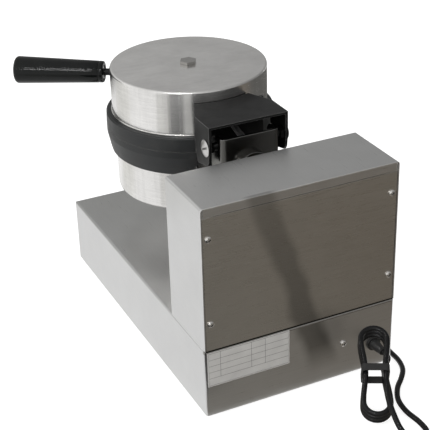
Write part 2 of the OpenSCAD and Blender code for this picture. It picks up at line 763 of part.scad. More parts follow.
flange_r = 24;
flange_t = 8;
flange_pcd = 36;
m5_d = 5;
m5_head_d = 8.5;
module at_flange_screws() {
    for (a = [45 : 90 : 315]) rotate([0, a, 0]) translate([flange_pcd / 2, 0, 0]) children();
}
module turning_shaft() placed() color(dark_steel) translate([0, 0, split_z]) difference() {
    union() {
        translate([0, carrier_back + seat_gap, 0])
            rod_y(shaft_d / 2, shaft_end - carrier_back - seat_gap);
        translate([0, carrier_back + seat_gap, 0]) rod_y(flange_r, flange_t);
    }
    translate([0, carrier_back - cut, 0]) rod_y(shaft_bore_d / 2, shaft_end - carrier_back + 2 * cut);
    at_flange_screws() translate([0, carrier_back - cut, 0])
        rod_y(m5_d / 2 + seat_gap, flange_t + 3 * cut);
}
m5_nut_af = 8;
m5_nut_h = 4;
module flange_screws() placed() color(dark_steel) translate([0, 0, split_z]) at_flange_screws() {
    head_y = carrier_back + flange_t + 2 * seat_gap;
    nut_y = carrier_back - carrier_t - seat_gap - m5_nut_h;
    translate([0, head_y, 0]) rod_y(m5_head_d / 2, m5_nut_h);
    translate([0, nut_y - fuse, 0]) rod_y(m5_d / 2, head_y - nut_y + m5_nut_h / 2);
    translate([0, nut_y, 0]) rotate([-90, 0, 0]) hex_prism(m5_nut_af, m5_nut_h);
}
collar_r = 21;
collar_l = 12;
stop_arm_l = 30;
grub_socket = 3;
grub_d = 6;
stop_collar_y = stand_rear - bush_l - slip_gap - collar_l;
rear_collar_y = stand_rear + bush_rim_t + slip_gap;
module collar() {
    difference() {
        rod_y(collar_r, collar_l);
        translate([0, -cut, 0]) rod_y(shaft_d / 2 + seat_gap, collar_l + 2 * cut);
        translate([0, collar_l / 2, 0]) cylinder(r = grub_d / 2 + run_gap, h = collar_r + cut);
    }
}
module shaft_collars() placed() color(dark_steel) {
    translate([0, stop_collar_y, split_z]) {
        collar();
        translate([(collar_r + stop_arm_l) / 2 - fuse, collar_l / 2, 0])
            rod_x(stop_arm_r, stop_arm_l - collar_r + 2 * fuse);
    }
    translate([0, rear_collar_y, split_z]) collar();
}
module collar_screws() placed() color(zinc)
    for (y = [stop_collar_y, rear_collar_y])
        translate([0, y + collar_l / 2, split_z + shaft_d / 2 + seat_gap])
            difference() {
                cylinder(r = grub_d / 2, h = collar_r - shaft_d / 2 - fuse);
                translate([0, 0, collar_r - shaft_d / 2 - grub_socket])
                    hex_prism(grub_socket, grub_socket);
            }

// Carrier channel: a web behind and two sides that hold the lower plate's lug and the hinge bolts
carrier_r = 8;
carrier_up = 44;
carrier_front = cup_back + 4 * room;
lug_w = carrier_w - 2 * carrier_t - 4 * seat_gap;
lug_y = hinge_back - 21;
lug_top = -8;
lug_bottom = -32;
hinge_z = split_z + hinge_up;
hinge_lug_r = 12;
side_over = 2;
nose_drop = 6;
lug_bolt_y = [lug_y - 26, lug_y - 10];
lug_bolt_z = (lug_top + lug_bottom) / 2;
m8_in = 16;
module carrier_side() {
    // side view, Y to the right and Z up from the parting plane
    translate([hinge_back, hinge_up]) circle(r = hinge_lug_r);
    translate([hinge_back - hinge_lug_r, lug_top]) square([hinge_lug_r, hinge_up - lug_top]);
    translate([hinge_back, -carrier_up]) square([carrier_back - hinge_back, 2 * carrier_up]);
    polygon([
        [carrier_front, lug_top + side_over], [lug_y, lug_top + side_over],
        [hinge_back - hinge_lug_r, 0], [hinge_back + fuse, 0], [hinge_back + fuse, -carrier_up],
        [hinge_back - hinge_lug_r, -carrier_up],
        [carrier_front + 2 * nose_drop, lug_bottom - nose_drop], [carrier_front, lug_bottom]
    ]);
}
module carrier_plan(w, r) {
    // plan view of a U that opens to the front, its web behind
    translate([-w / 2, 0]) square([w, carrier_back - r]);
    translate([r - w / 2, 0]) square([w - 2 * r, carrier_back]);
    for (s = [-1, 1]) translate([s * (w / 2 - r), carrier_back - r]) circle(r = r);
}
module carrier_channel() placed() color(dark_steel) translate([0, 0, split_z]) difference() {
    intersection() {
        translate([0, 0, -carrier_up]) linear_extrude(2 * carrier_up) difference() {
            carrier_plan(carrier_w, carrier_r);
            translate([0, -carrier_t]) carrier_plan(carrier_w - 2 * carrier_t, carrier_r - carrier_t);
        }
        rotate([90, 0, 90]) linear_extrude(carrier_w + 2 * cut, center = true) carrier_side();
    }
    translate([0, hinge_back, hinge_up]) rod_x(hinge_d / 2 + run_gap, carrier_w + 2 * cut);
    for (y = lug_bolt_y) translate([0, y, lug_bolt_z])
        rod_x(stand_bolt_d / 2 + seat_gap, carrier_w + 2 * cut);
    translate([0, carrier_back - carrier_t - cut, 0]) rod_y(shaft_bore_d / 2, carrier_t + 2 * cut);
    at_flange_screws() translate([0, carrier_back - carrier_t - cut, 0])
        rod_y(m5_d / 2 + seat_gap, carrier_t + 2 * cut);
}
module lug_bolts() placed() color(dark_steel) translate([0, 0, split_z])
    for (s = [-1, 1], y = lug_bolt_y) translate([s * (carrier_w / 2 + seat_gap), y, lug_bolt_z])
        rotate([0, s * 90, 0]) {
            hex_prism(m8_af, m8_head_h);
            translate([0, 0, -m8_in]) cylinder(r = stand_bolt_d / 2, h = m8_in + m8_head_h / 2);
        }

// Cast plates with their waffle grids

parting_gap = 0.5;
back_h = 26;
boss_h = 34;
cup_bolt_d = 10;
cup_bolt_in = 18;
plate_boss_r = 12;
cavity_draft = 4;
cup_t = 0.8;
rim_edge = 1.5;
stud_edge_gap = 1;
bolt_tip_gap = 2;
rows = floor((waffle_r - cavity_draft) / stud_pitch) + 1;
// Stud centres lie half a pitch off both axes, and only where the whole stud fits in the cavity
function stud_fits(x, y) =
    norm([abs(x) + stud_w / 2, abs(y) + stud_w / 2]) < waffle_r - cavity_draft - stud_edge_gap;
module at_studs() {
    for (i = [-rows : rows - 1], j = [-rows : rows - 1])
        let (x = (i + 0.5) * stud_pitch, y = (j + 0.5) * stud_pitch)
            if (stud_fits(x, y)) translate([x, y, 0]) children();
}
// Section of a plate, the parting plane at height start and its back up the page
module plate_section(start, rim_h, rim_foot_r, shoulder_r) {
    polygon([
        [0, cavity_h], [waffle_r - cavity_draft, cavity_h], [waffle_r, start], [rim_r, start],
        [rim_r, rim_h * 0.35], [rim_foot_r, rim_h - rim_edge], [rim_foot_r - rim_edge, rim_h],
        [shoulder_r, rim_h], [shoulder_r, back_h], [0, back_h]
    ]);
}
// Boss and studs that both plates have, the studs reaching towards the parting plane
module plate_fill() {
    translate([0, 0, back_h - fuse]) cylinder(r = plate_boss_r, h = boss_h - back_h + fuse);
    at_studs() translate([-stud_w / 2, -stud_w / 2, cavity_h - stud_h])
        cube([stud_w, stud_w, stud_h + fuse]);
}
lower_shoulder_r = lower_cup_r - cup_t - slip_gap;
skirt_slope = 3;
skirt_t = 6;
// Section of the lower plate, whose skirt hides the cup's edge
module lower_section() {
    polygon([
        [0, cavity_h], [waffle_r - cavity_draft, cavity_h], [waffle_r, 0], [rim_r, 0],
        [rim_r, lower_rim_h / 4], [rim_r - skirt_slope, lower_rim_h * 0.7],
        [lower_cup_r + skirt_t, lower_rim_h - rim_edge],
        [lower_cup_r + skirt_t - rim_edge, lower_rim_h],
        [lower_cup_r + slip_gap, lower_rim_h], [lower_cup_r + slip_gap, cavity_h],
        [lower_shoulder_r, cavity_h], [lower_shoulder_r, back_h], [0, back_h]
    ]);
}
sensor_bore_d = 6.4;
sensor_l = 90;
sensor_down = 20.5;
lug_root = 20;
module lower_plate() placed() color(black_paint) translate([0, 0, split_z]) difference() {
    union() {
        translate([0, head_y, 0]) mirror([0, 0, 1]) {
            rotate_extrude($fn = 128) lower_section();
            plate_fill();
        }
        translate([-lug_w / 2, cup_back - lug_root, lug_bottom])
            cube([lug_w, lug_y - cup_back + lug_root, lug_top - lug_bottom]);
    }
    translate([0, head_y, -boss_h - cut])
        cylinder(r = cup_bolt_d / 2 + run_gap, h = cut + cup_bolt_in - bolt_tip_gap);
    translate([0, lug_y - sensor_l, -sensor_down]) rod_y(sensor_bore_d / 2, sensor_l + cut);
    for (y = lug_bolt_y) translate([0, y, lug_bolt_z])
        for (s = [-1, 1]) translate([s * lug_w / 2, 0, 0])
            rod_x(stand_bolt_d / 2 + run_gap, 2 * (m8_in - carrier_t));
}
pad_w = 72;
pad_back = cup_back + 8.8;
pad_root = 4;
pad_screw_deep = 12;
m6_d = 6;
bracket_screw_x = [-24, 0, 24];
module upper_plate() placed() color(black_paint) translate([0, 0, split_z]) difference() {
    union() {
        translate([0, head_y, 0]) {
            rotate_extrude($fn = 128)
                plate_section(parting_gap, upper_rim_h, rim_r - 0.5, upper_cup_r - cup_t - slip_gap);
            plate_fill();
        }
        translate([-pad_w / 2, cup_back - pad_root, parting_gap])
            cube([pad_w, pad_back - cup_back + pad_root, upper_rim_h - parting_gap]);
    }
    translate([0, head_y, boss_h - cup_bolt_in + bolt_tip_gap])
        cylinder(r = cup_bolt_d / 2 + run_gap, h = cup_bolt_in);
    for (x = bracket_screw_x) translate([x, pad_back - pad_screw_deep, upper_rim_h / 2])
        rod_y(m6_d / 2 + run_gap, pad_screw_deep + cut);
}

// Heating element: two open rings joined by a radial bar, with two terminals behind
heater_r = 4.2;
heater_rings = [0.39 * waffle_r, 0.74 * waffle_r];
heater_gap_angle = 40;
heater_end_angle = heater_gap_angle / 2 + 8;
terminal_r = 3;
terminal_h = 16;
heater_level = back_h + heater_r + seat_gap;
module at_terminals() {
    for (r = heater_rings) rotate([0, 0, 90 - heater_end_angle]) translate([r, 0, 0]) children();
}
module heater() {
    translate([0, 0, heater_level]) {
        for (r = heater_rings) rotate([0, 0, 90 + heater_gap_angle / 2])
            rotate_extrude(angle = 360 - heater_gap_angle) translate([r, 0]) circle(r = heater_r);
        rotate([0, 0, 90 + heater_end_angle]) translate([heater_rings[0], 0, 0]) rotate([0, 90, 0])
            cylinder(r = terminal_r, h = heater_rings[1] - heater_rings[0]);
        at_terminals() cylinder(r = terminal_r, h = terminal_h);
    }
}
module lower_heater() placed() color([0.35, 0.33, 0.31])
    translate([0, head_y, split_z]) mirror([0, 0, 1]) heater();
module upper_heater() placed() color([0.35, 0.33, 0.31])
    translate([0, head_y, split_z]) heater();

// Disc that presses the element on the plate, with the tube that carries the cup's bolt
clamp_r = lower_cup_r - 13;
clamp_t = 3;
clamp_level = heater_level + heater_r + seat_gap;
spacer_d = 18;
module clamp(cup_h) {
    difference() {
        union() {
            translate([0, 0, clamp_level]) cylinder(r = clamp_r, h = clamp_t);
            translate([0, 0, boss_h + seat_gap])
                cylinder(r = spacer_d / 2, h = cup_h - cup_t - boss_h - 2 * seat_gap);
        }
        translate([0, 0, boss_h - cut]) cylinder(r = cup_bolt_d / 2 + slip_gap, h = cup_h);
        translate([0, 0, boss_h - 2 * clamp_t]) cylinder(r = plate_boss_r + slip_gap,
            h = 2 * clamp_t + seat_gap / 2);
        at_terminals() translate([0, 0, clamp_level - cut])
            cylinder(r = terminal_r + room, h = clamp_t + 2 * cut);
    }
}
module lower_clamp() placed() color(zinc)
    translate([0, head_y, split_z]) mirror([0, 0, 1]) clamp(lower_cup_down);
module upper_clamp() placed() color(zinc)
    translate([0, head_y, split_z]) clamp(upper_cup_up);

// Ceramic fibre disc that fills the cup behind the clamp
wool_gap = 1.5;
wool_level = heater_level + terminal_h + 2 * room;
wool_in = [6, 4];
rod_room_l = 22;
rod_room_r = 9;
sleeve_r = 4;
module wool(cup_r, cup_h) {
    difference() {
        translate([0, 0, wool_level])
            cylinder(r = cup_r - cup_t - wool_gap, h = cup_h - cup_t - wool_gap - wool_level);
        translate([0, 0, wool_level - cut]) cylinder(r = spacer_d / 2 + room, h = cup_h);
    }
}
module lower_insulation() placed() color([0.93, 0.92, 0.88])
    translate([0, head_y, split_z]) mirror([0, 0, 1]) wool(lower_cup_r - wool_in[0], lower_cup_down);
module upper_insulation() placed() color([0.93, 0.92, 0.88])
    translate([0, head_y, split_z]) difference() {
        wool(upper_cup_r - wool_in[1], upper_cup_up);
        rotate([0, 0, handle_angle - 90]) translate([upper_cup_r - rod_room_l, 0, handle_up])
            rotate([0, 90, 0]) cylinder(r = rod_room_r, h = rod_room_l + cut);
    }

// Steel cups
cup_lip = 1.2;
upper_edge = 2.5;
lower_edge = 6;
sleeve_up = 44;
sleeve_down = 41;
wall_cut = 5;
module cup(r, h, edge, foot) {
    rotate_extrude($fn = 128) {
        difference() {
            intersection() {
                cup_section(r, h, edge);
                translate([0, foot]) square([2 * r, h]);
            }
            translate([0, -cut]) cup_section(r - cup_t, h - cup_t + cut, edge - cup_t);
        }
        translate([r - cup_t, foot]) square([cup_t + cup_lip, cup_lip]);
    }
}
module upper_cup() placed() color(steel) translate([0, head_y, split_z]) difference() {
    cup(upper_cup_r, upper_cup_up, upper_edge, upper_rim_h + seat_gap);
    cylinder(r = cup_bolt_d / 2 + slip_gap, h = upper_cup_up + cut);
    translate([0, upper_cup_r - wall_cut, sleeve_up]) rod_y(sleeve_r + room, 2 * wall_cut);
    rotate([0, 0, handle_angle - 90]) translate([upper_cup_r - wall_cut, 0, handle_up])
        rotate([0, 90, 0]) cylinder(r = handle_rod_d / 2 + slip_gap, h = 2 * wall_cut);
}
module lower_cup() placed() color(steel) translate([0, head_y, split_z]) mirror([0, 0, 1])
    difference() {
        rotate_extrude($fn = 128) difference() {
            intersection() {
                cup_section(lower_cup_r, lower_cup_down, lower_edge);
                translate([0, cavity_h + 2 * room]) square([2 * lower_cup_r, lower_cup_down]);
            }
            translate([0, -cut])
                cup_section(lower_cup_r - cup_t, lower_cup_down - cup_t + cut, lower_edge - cup_t);
        }
        cylinder(r = cup_bolt_d / 2 + slip_gap, h = lower_cup_down + cut);
        translate([0, lower_cup_r - wall_cut, sleeve_down]) rod_y(sleeve_r + room, 2 * wall_cut);
        // notch that the plate's lug passes through
        translate([-lug_w / 2 - slip_gap, 0, cavity_h])
            cube([lug_w + 2 * slip_gap, 2 * lower_cup_r, -lug_bottom - cavity_h + slip_gap]);
    }

// Low hexagon bolt that holds a cup on its plate
cup_bolt_af = 19;
cup_bolt_head_h = 3.6;
module cup_bolt(cup_h) {
    tip = boss_h - cup_bolt_in + 2 * bolt_tip_gap;
    translate([0, 0, tip]) cylinder(r = cup_bolt_d / 2, h = cup_h + cup_bolt_head_h / 2 - tip);
    translate([0, 0, cup_h + seat_gap]) hex_prism(cup_bolt_af, cup_bolt_head_h);
}
module upper_cup_bolt() placed() color(bright_steel)
    translate([0, head_y, split_z]) cup_bolt(upper_cup_up);
module lower_cup_bolt() placed() color(bright_steel)
    translate([0, head_y, split_z]) mirror([0, 0, 1]) cup_bolt(lower_cup_down);

// Routes of the head's leads are given from the middle of the hinge axis, at the parting plane
module at_hinge() {
    translate([0, hinge_back, split_z]) children();
}
// Bulb of the thermostat in its bore, with the capillary that leads into the shaft
bulb_l = 84;
capillary_r = 1;
capillary_route = [[0, -27, -sensor_down], [0, -19, -sensor_down], [4, -11, -16], [5, -3, -4], [4, 7, 4],
    [4, 19, 5], [4, 37, 5]];
module sensor_probe() placed() color(brass) {
    translate([0, lug_y - sensor_l + bolt_tip_gap, split_z - sensor_down])
        rod_y(sensor_bore_d / 2 - 2 * seat_gap, bulb_l);
    at_hinge() swept_tube(smooth(capillary_route, 3), capillary_r, wire_sides);
}

// Heat-proof sleeves of the two elements' leads; they meet on the hinge axis
head_sleeve_route = [[0, -73, -sleeve_down], [0, -59, -sleeve_down], [0, -39, -44], [0, -21, -48],
    [-2, -9, -42], [-6, -5, -28], [-4, -3, -12], [-2, 7, -2], [0, 19, 0], [0, 47, 0], [0, 107, 0]];
lid_sleeve_route = [[0, -71, sleeve_up], [0, -59, sleeve_up], [0, -43, 42], [0, -23, 36],
    [0, -9, hinge_up + 1], [0, -1, hinge_up]];
sleeve_sides = 8;
module head_sleeve() placed() color(rubber)
    at_hinge() swept_tube(smooth(head_sleeve_route, 3), sleeve_r, sleeve_sides);
module lid_sleeve() placed() color(rubber)
    at_hinge() swept_tube(smooth(lid_sleeve_route, 3), sleeve_r, sleeve_sides);

// Lid's hinge bracket

bracket_front_y = cup_back + 29;
bracket_web_y = cup_back + 9;
web_short = 6;
bracket_arc_x = 32;
flange_front_h = 24;
flange_back_h = 30;
flange_nose = [6, 9];
flange_toe = [5, 3];
flange_edge = 2;
bracket_screw_in = 10;
flange_low = 5;
flange_rise = 8;
cup_clear = 2;
module bracket_plan() {
    half = bracket_w / 2;
    difference() {
        polygon([
            [-half, bracket_back], [-half, bracket_front_y], [-bracket_arc_x, -cut],
            [bracket_arc_x, -cut], [half, bracket_front_y], [half, bracket_back]
        ]);
        translate([0, head_y]) circle(r = upper_cup_r + cup_clear, $fn = 128);
    }
}
// Side view of a flange: Y to the right, Z up from the parting plane
module bracket_flange() {
    polygon([
        [bracket_front_y, bracket_up], [bracket_front_y, bracket_up - flange_front_h],
        [bracket_front_y + flange_nose[0], flange_low + flange_edge],
        [bracket_front_y + flange_nose[1], flange_low],
        [bracket_back - flange_toe[0], flange_low + flange_rise - flange_edge],
        [bracket_back - flange_edge, flange_low + flange_rise + flange_toe[1]],
        [bracket_back, bracket_up - flange_back_h], [bracket_back, bracket_up]
    ]);
}
module hinge_bracket() placed() color(black_paint) translate([0, 0, split_z]) difference() {
    union() {
        translate([0, 0, bracket_up - bracket_t]) linear_extrude(bracket_t) bracket_plan();
        for (s = [-1, 1]) translate([s * (bracket_w / 2 - bracket_t / 2), 0, 0])
            rotate([90, 0, 90]) linear_extrude(bracket_t, center = true) bracket_flange();
        // front web that is screwed to the upper plate's pad
        translate([-bracket_w / 2 + bracket_t, bracket_web_y, flange_low])
            cube([bracket_w - 2 * bracket_t - web_short, bracket_t, bracket_up - flange_low - seat_gap]);
    }
    translate([0, hinge_back, hinge_up]) rod_x(hinge_d / 2 + seat_gap, bracket_w + 2 * cut);
    translate([0, bracket_web_y - cut, sleeve_up]) rod_y(sleeve_r + 1.5 * room, bracket_t + 2 * cut);
    for (x = bracket_screw_x) translate([x, bracket_web_y - cut, upper_rim_h / 2])
        rod_y(m6_d / 2 + seat_gap, bracket_t + 2 * cut);
}
m6_af = 10;
m6_head_h = 4;
module bracket_screws() placed() color(zinc) translate([0, 0, split_z])
    for (x = bracket_screw_x)
        translate([x, bracket_web_y + bracket_t + seat_gap, upper_rim_h / 2]) {
            rotate([-90, 0, 0]) hex_prism(m6_af, m6_head_h);
            translate([0, -bracket_t - bracket_screw_in, 0])
                rod_y(m6_d / 2, bracket_t + bracket_screw_in + m6_head_h / 2);
        }

// Slotted hinge bolts, each locked to the bracket by a nut; their plain ends turn in the carrier
hinge_head_h = 4;
hinge_nut_af = 15;
hinge_nut_h = 5;
slot_w = 2.4;
slot_turn = 25;
module hinge_bolts() placed() color(bright_steel)
    for (s = [-1, 1]) translate([s * (bracket_w / 2 + seat_gap), hinge_back, hinge_z])
        rotate([0, s * 90, 0]) {
            difference() {
                intersection() {
                    cylinder(r = hinge_head_d / 2, h = hinge_head_h);
                    translate([0, 0, hinge_head_h - hinge_head_d * 0.9])
                        sphere(r = hinge_head_d * 0.9, $fn = 96);
                }
                rotate([0, 0, s * slot_turn]) translate([0, 0, hinge_head_h])
                    cube([slot_w, hinge_head_d + cut, 2 * slot_w], center = true);
            }
            translate([0, 0, carrier_w / 2 - carrier_t - bracket_w / 2])
                cylinder(r = hinge_d / 2, h = bracket_w / 2 - carrier_w / 2 + carrier_t + fuse);
            translate([0, 0, -bracket_t - 2 * seat_gap - hinge_nut_h])
                hex_prism(hinge_nut_af, hinge_nut_h);
        }

// Handle

handle_rod_d = 8;
rod_in = 12;
rod_grip = 50;
collar_d = 9;
grip_round = 5;
grip_chamfer = 1.5;
grip_bore_over = 2;
module along_handle(r) {
    translate([0, head_y, split_z + handle_up]) rotate([0, 0, handle_angle - 90])
        translate([r, 0, 0]) rotate([0, 90, 0]) children();
}
module handle_rod() placed() color(black_paint) {
    along_handle(upper_cup_r - rod_in) cylinder(r = handle_rod_d / 2, h = rod_in + grip_start
        - upper_cup_r + rod_grip);
    along_handle(upper_cup_r + slip_gap)
        cylinder(r = collar_d / 2, h = grip_start - upper_cup_r - slip_gap - seat_gap);
}
m8_washer_t = 1.5;
m8_washer_r = 8;
module handle_nut() placed() color(zinc) along_handle(upper_cup_r - cup_t - m8_washer_t - m8_nut_h - room)
    difference() {
        union() {
            hex_prism(m8_af, m8_nut_h);
            translate([0, 0, m8_nut_h - seat_gap]) cylinder(r = m8_washer_r, h = m8_washer_t);
        }
        translate([0, 0, -cut]) cylinder(r = handle_rod_d / 2 + run_gap, h = 2 * m8_nut_h);
    }
module handle_grip() placed() color(black_plastic) along_handle(grip_start) difference() {
    rotate_extrude($fn = 96) difference() {
        union() {
            polygon([
                [0, 0], [grip_near_d / 2 - grip_chamfer, 0], [grip_near_d / 2, grip_chamfer],
                [grip_far_d / 2 - seat_gap, grip_l - grip_round], [grip_far_d / 2 - grip_round, grip_l],
                [0, grip_l]
            ]);
            translate([grip_far_d / 2 - grip_round, grip_l - grip_round]) circle(r = grip_round);
        }
        translate([-grip_far_d, 0]) square([grip_far_d, grip_l]);
    }
    translate([0, 0, -cut]) cylinder(r = handle_rod_d / 2 + seat_gap, h = rod_grip + grip_bore_over + cut);
}

// Mains lead: boot, first stretch, hank tied at its waist, tail and plug

boot_l = 22;
boot_neck_d = 11;
boot_neck_l = 6;
boot_flange_d = 18;
boot_flange_t = 2.5;
boot_end_d = 9;
module strain_relief() placed() color(black_plastic)
    translate([boot_x, rear_y, boot_z]) rotate([-90, 0, 0]) {
        translate([0, 0, seat_gap]) cylinder(r = boot_flange_d / 2, h = boot_flange_t);
        translate([0, 0, -boot_neck_l]) cylinder(r = boot_neck_d / 2, h = boot_neck_l + boot_flange_t);
        translate([0, 0, boot_flange_t / 2])
            cylinder(r1 = boot_d / 2, r2 = boot_end_d / 2, h = boot_l - boot_flange_t / 2);
    }

// The hank leans on the rear wall with its foot on the table. In its own frame X runs across,
// Y down its length from the centre of the top folds, and Z through its layers.
hank_centre = [-83.7, 235.8, 56.6];
hank_pitch_angle = 24;
hank_yaw = 28;
hank_run = 80;
hank_fold_r = 15.5;
hank_waist_in = 4;
hank_loops = 3;
hank_layer = 7.1;
hank_sides = 6;
run_rings = 5;
fold_rings = 7;
hank_mid = hank_run / 2;
waist_x = hank_fold_r - hank_waist_in;
first_layer = -hank_loops / 2 * hank_layer;
function run_x(y) = hank_fold_r - hank_waist_in * (1 - cos(360 * y / hank_run)) / 2;
function eased(t) = t * t * (3 - 2 * t);
// One loop from the top of the -X run: down it, round the foot, up the +X run and over the top
function loop_points(k, from) = concat(
    [for (i = [0 : run_rings - 1])
        let (y = from + (hank_run - from) * (i + 0.5) / run_rings)
        [-run_x(y), y, first_layer + k * hank_layer]],
    [for (i = [0 : fold_rings - 1])
        let (a = 180 * i / (fold_rings - 1))
        [-hank_fold_r * cos(a), hank_run + hank_fold_r * sin(a), first_layer + k * hank_layer]],
    [for (i = [0 : run_rings - 1])
        let (t = (i + 0.5) / run_rings, y = hank_run * (1 - t))
        [run_x(y), y, first_layer + (k + eased(t)) * hank_layer]],
    [for (i = [0 : fold_rings - 1])
        let (a = 180 * i / (fold_rings - 1))
        [hank_fold_r * cos(a), -hank_fold_r * sin(a), first_layer + (k + 1) * hank_layer]]
);
hank_points = concat(
    [[-waist_x, hank_mid, first_layer], [-waist_x, hank_mid + cord_d, first_layer]],
    loop_points(0, hank_mid + cord_d),
    loop_points(1, 0),
    loop_points(2, 0),
    [for (share = [0.25, 0.55]) [-run_x(share * hank_mid), share * hank_mid, -first_layer]],
    [[-waist_x, hank_mid - cord_d, -first_layer], [-waist_x, hank_mid, -first_layer]]
);
far_rings = 6;
hank_gap = min([for (i = [0 : len(hank_points) - 1], j = [0 : len(hank_points) - 1])
    if (j > i + far_rings) norm(hank_points[i] - hank_points[j])]) - cord_d;
function path_length(p) =
    len(p) < 2 ? 0 : [for (i = [1 : len(p) - 1]) norm(p[i] - p[i - 1])] * [for (i = [1 : len(p) - 1]) 1];
// A point of the hank's frame in the object's own directions
function from_hank(p) =
    let (y = p[1] * cos(hank_pitch_angle) + p[2] * sin(hank_pitch_angle),
        z = p[2] * cos(hank_pitch_angle) - p[1] * sin(hank_pitch_angle))
    hank_centre + [p[0] * cos(hank_yaw) + y * sin(hank_yaw), y * cos(hank_yaw) - p[0] * sin(hank_yaw), z];
module in_hank() {
    translate(hank_centre) rotate([-hank_pitch_angle, 0, -hank_yaw]) children();
}
hank_start = from_hank(hank_points[0]);
hank_end = from_hank(hank_points[len(hank_points) - 1]);
lead_steps = 2;
tail_steps = 2;
lead_route = [[boot_x, rear_y + boot_l, boot_z], [boot_x, rear_y + boot_l + cord_d / 2, boot_z],
    [boot_x, rear_y + boot_l + cord_d, boot_z],
    [boot_x + 1, rear_y + boot_l + 2 * cord_d, boot_z - 2],
    from_hank([-waist_x, hank_mid - 2 * cord_d, first_layer]),
    from_hank([-waist_x, hank_mid - cord_d, first_layer]), hank_start];
// The plug lies on its flange's inner rim and on its boot's end, with the cord flat on the table
plug_face_r = 18.5;
plug_face_l = 14;
plug_neck_r = 8;
plug_neck_l = 26;
plug_boot_r = 4.5;
plug_boot_l = 20;
plug_x = -146;
plug_y = 118;
plug_rise = atan((plug_face_r - plug_boot_r) / (plug_boot_l + plug_neck_l));
plug_z = plug_boot_r * cos(plug_rise) + seat_gap;
table_z = cord_d / 2 + seat_gap;
plug_back = [0, cos(plug_rise), -sin(plug_rise)];
hank_last = 75;
tail_route = [hank_end, from_hank([-waist_x, hank_mid + cord_d, -first_layer]),
    from_hank([-waist_x, hank_last, -first_layer]), [-54, 330, 24], [-54, 346, 15], [-62, 357, 7.5],
    [-76, 358, table_z], [-87, 347, table_z], [-89, 328, table_z], [-87, 305, table_z],
    [-91, 282, table_z], [-103, 262, table_z], [-118, 247, table_z], [-130, 232, table_z],
    [-136, 213, table_z], [-137, 190, table_z], [-141, 165, table_z],
    [plug_x, plug_y + 3 * cord_d, table_z], [plug_x, plug_y + 1.5 * cord_d, table_z],
    [plug_x, plug_y, plug_z] + cord_d / 2 * plug_back, [plug_x, plug_y, plug_z] + cord_d / 4 * plug_back,
    [plug_x, plug_y, plug_z]];
cord_sides = 8;
module power_cord() placed() color(black_plastic)
    swept_tube(smooth(lead_route, lead_steps), cord_d / 2, cord_sides);
module cord_hank() placed() color(black_plastic) in_hank()
    swept_tube(hank_points, cord_d / 2, hank_sides);
module cord_tail() placed() color(black_plastic)
    swept_tube(smooth(tail_route, tail_steps), cord_d / 2, cord_sides);
echo("hank's least gap to itself", hank_gap);
echo("lead's length", boot_l + path_length(smooth(lead_route, lead_steps)) + path_length(hank_points)
    + path_length(smooth(tail_route, tail_steps)));

tie_t = 1.2;
tie_w = 9;
module cord_tie() placed() color(rubber) in_hank() translate([0, hank_mid, 0]) rotate([90, 0, 0])
    linear_extrude(tie_w, center = true) difference() {
        tie_x = 2 * waist_x + cord_d + 2 * slip_gap;
        tie_z = -2 * first_layer + cord_d + 2 * slip_gap;
        round_rect(tie_x + 2 * tie_t, tie_z + 2 * tie_t, cord_d / 2 + tie_t);
        round_rect(tie_x, tie_z, cord_d / 2);
    }

// Moulded round plug
plug_edge = 1;
plug_step = 3;
pin_d = 4.8;
pin_l = 19;
pin_pitch = 19;
plug_l = plug_boot_l + plug_neck_l + plug_face_l;
module at_plug() {
    translate([plug_x, plug_y, plug_z]) rotate([90 - plug_rise, 0, 0]) children();
}
module mains_plug() placed() color(black_plastic) at_plug() difference() {
    rotate_extrude() polygon([
        [0, 0], [plug_boot_r, 0], [plug_boot_r * 1.3, plug_boot_l], [plug_neck_r, plug_boot_l],
        [plug_neck_r + plug_edge, plug_boot_l + plug_neck_l * 0.4],
        [plug_face_r - plug_step, plug_boot_l + plug_neck_l * 0.8],
        [plug_face_r, plug_boot_l + plug_neck_l], [plug_face_r, plug_l - plug_edge],
        [plug_face_r - plug_edge, plug_l],
        [0, plug_l]
    ]);
    for (s = [-1, 1]) translate([s * pin_pitch / 2, 0, plug_l - pin_l / 2])
        cylinder(r = pin_d / 2 + run_gap, h = pin_l);
}
module plug_pins() placed() color(bright_steel) at_plug()
    for (s = [-1, 1]) translate([s * pin_pitch / 2, 0, plug_l - pin_l / 2]) {
        cylinder(r = pin_d / 2, h = pin_l * 1.5 - pin_d / 4);
        translate([0, 0, pin_l * 1.5 - pin_d / 4]) cylinder(r1 = pin_d / 2, r2 = pin_d / 4, h = pin_d / 4);
    }

base_housing();
bottom_plate();
rubber_feet();
foot_screws();
plate_screws();
base_stiffener();
thermostat_body();
timer_body();
control_screws();
switch_body();
power_lamp();
heating_lamp();
terminal_block();
rating_plate();
base_wiring();
column_housing();
rear_panel();
rear_screws();
bearing_stand();
stand_bolts();
shaft_bushes();
stop_pins();
strain_relief();
power_cord();
cord_hank();
cord_tie();
cord_tail();
mains_plug();
plug_pins();
turning_shaft();
flange_screws();
shaft_collars();
collar_screws();
carrier_channel();
lug_bolts();
lower_plate();
lower_heater();
lower_clamp();
lower_insulation();
lower_cup();
lower_cup_bolt();
sensor_probe();
head_sleeve();
lid_sleeve();
hinge_bracket();
bracket_screws();
hinge_bolts();
upper_plate();
upper_heater();
upper_clamp();
upper_insulation();
upper_cup();
upper_cup_bolt();
handle_rod();
handle_nut();
handle_grip();
thermostat_knob();
timer_knob();
switch_rocker();
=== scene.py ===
"""Looks of a rotary waffle baker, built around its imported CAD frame.

Everything is in metres in the frame of the CAD part: +Z up, the controls face -Y, the rear
panel faces +Y. Each sub-assembly is a class that makes its own pieces or dresses the CAD
nodes that belong to it, and each finish is a frozen dataclass that builds one material.
"""

from __future__ import annotations

import json
import logging
import math
from dataclasses import dataclass, field, replace
from enum import Enum

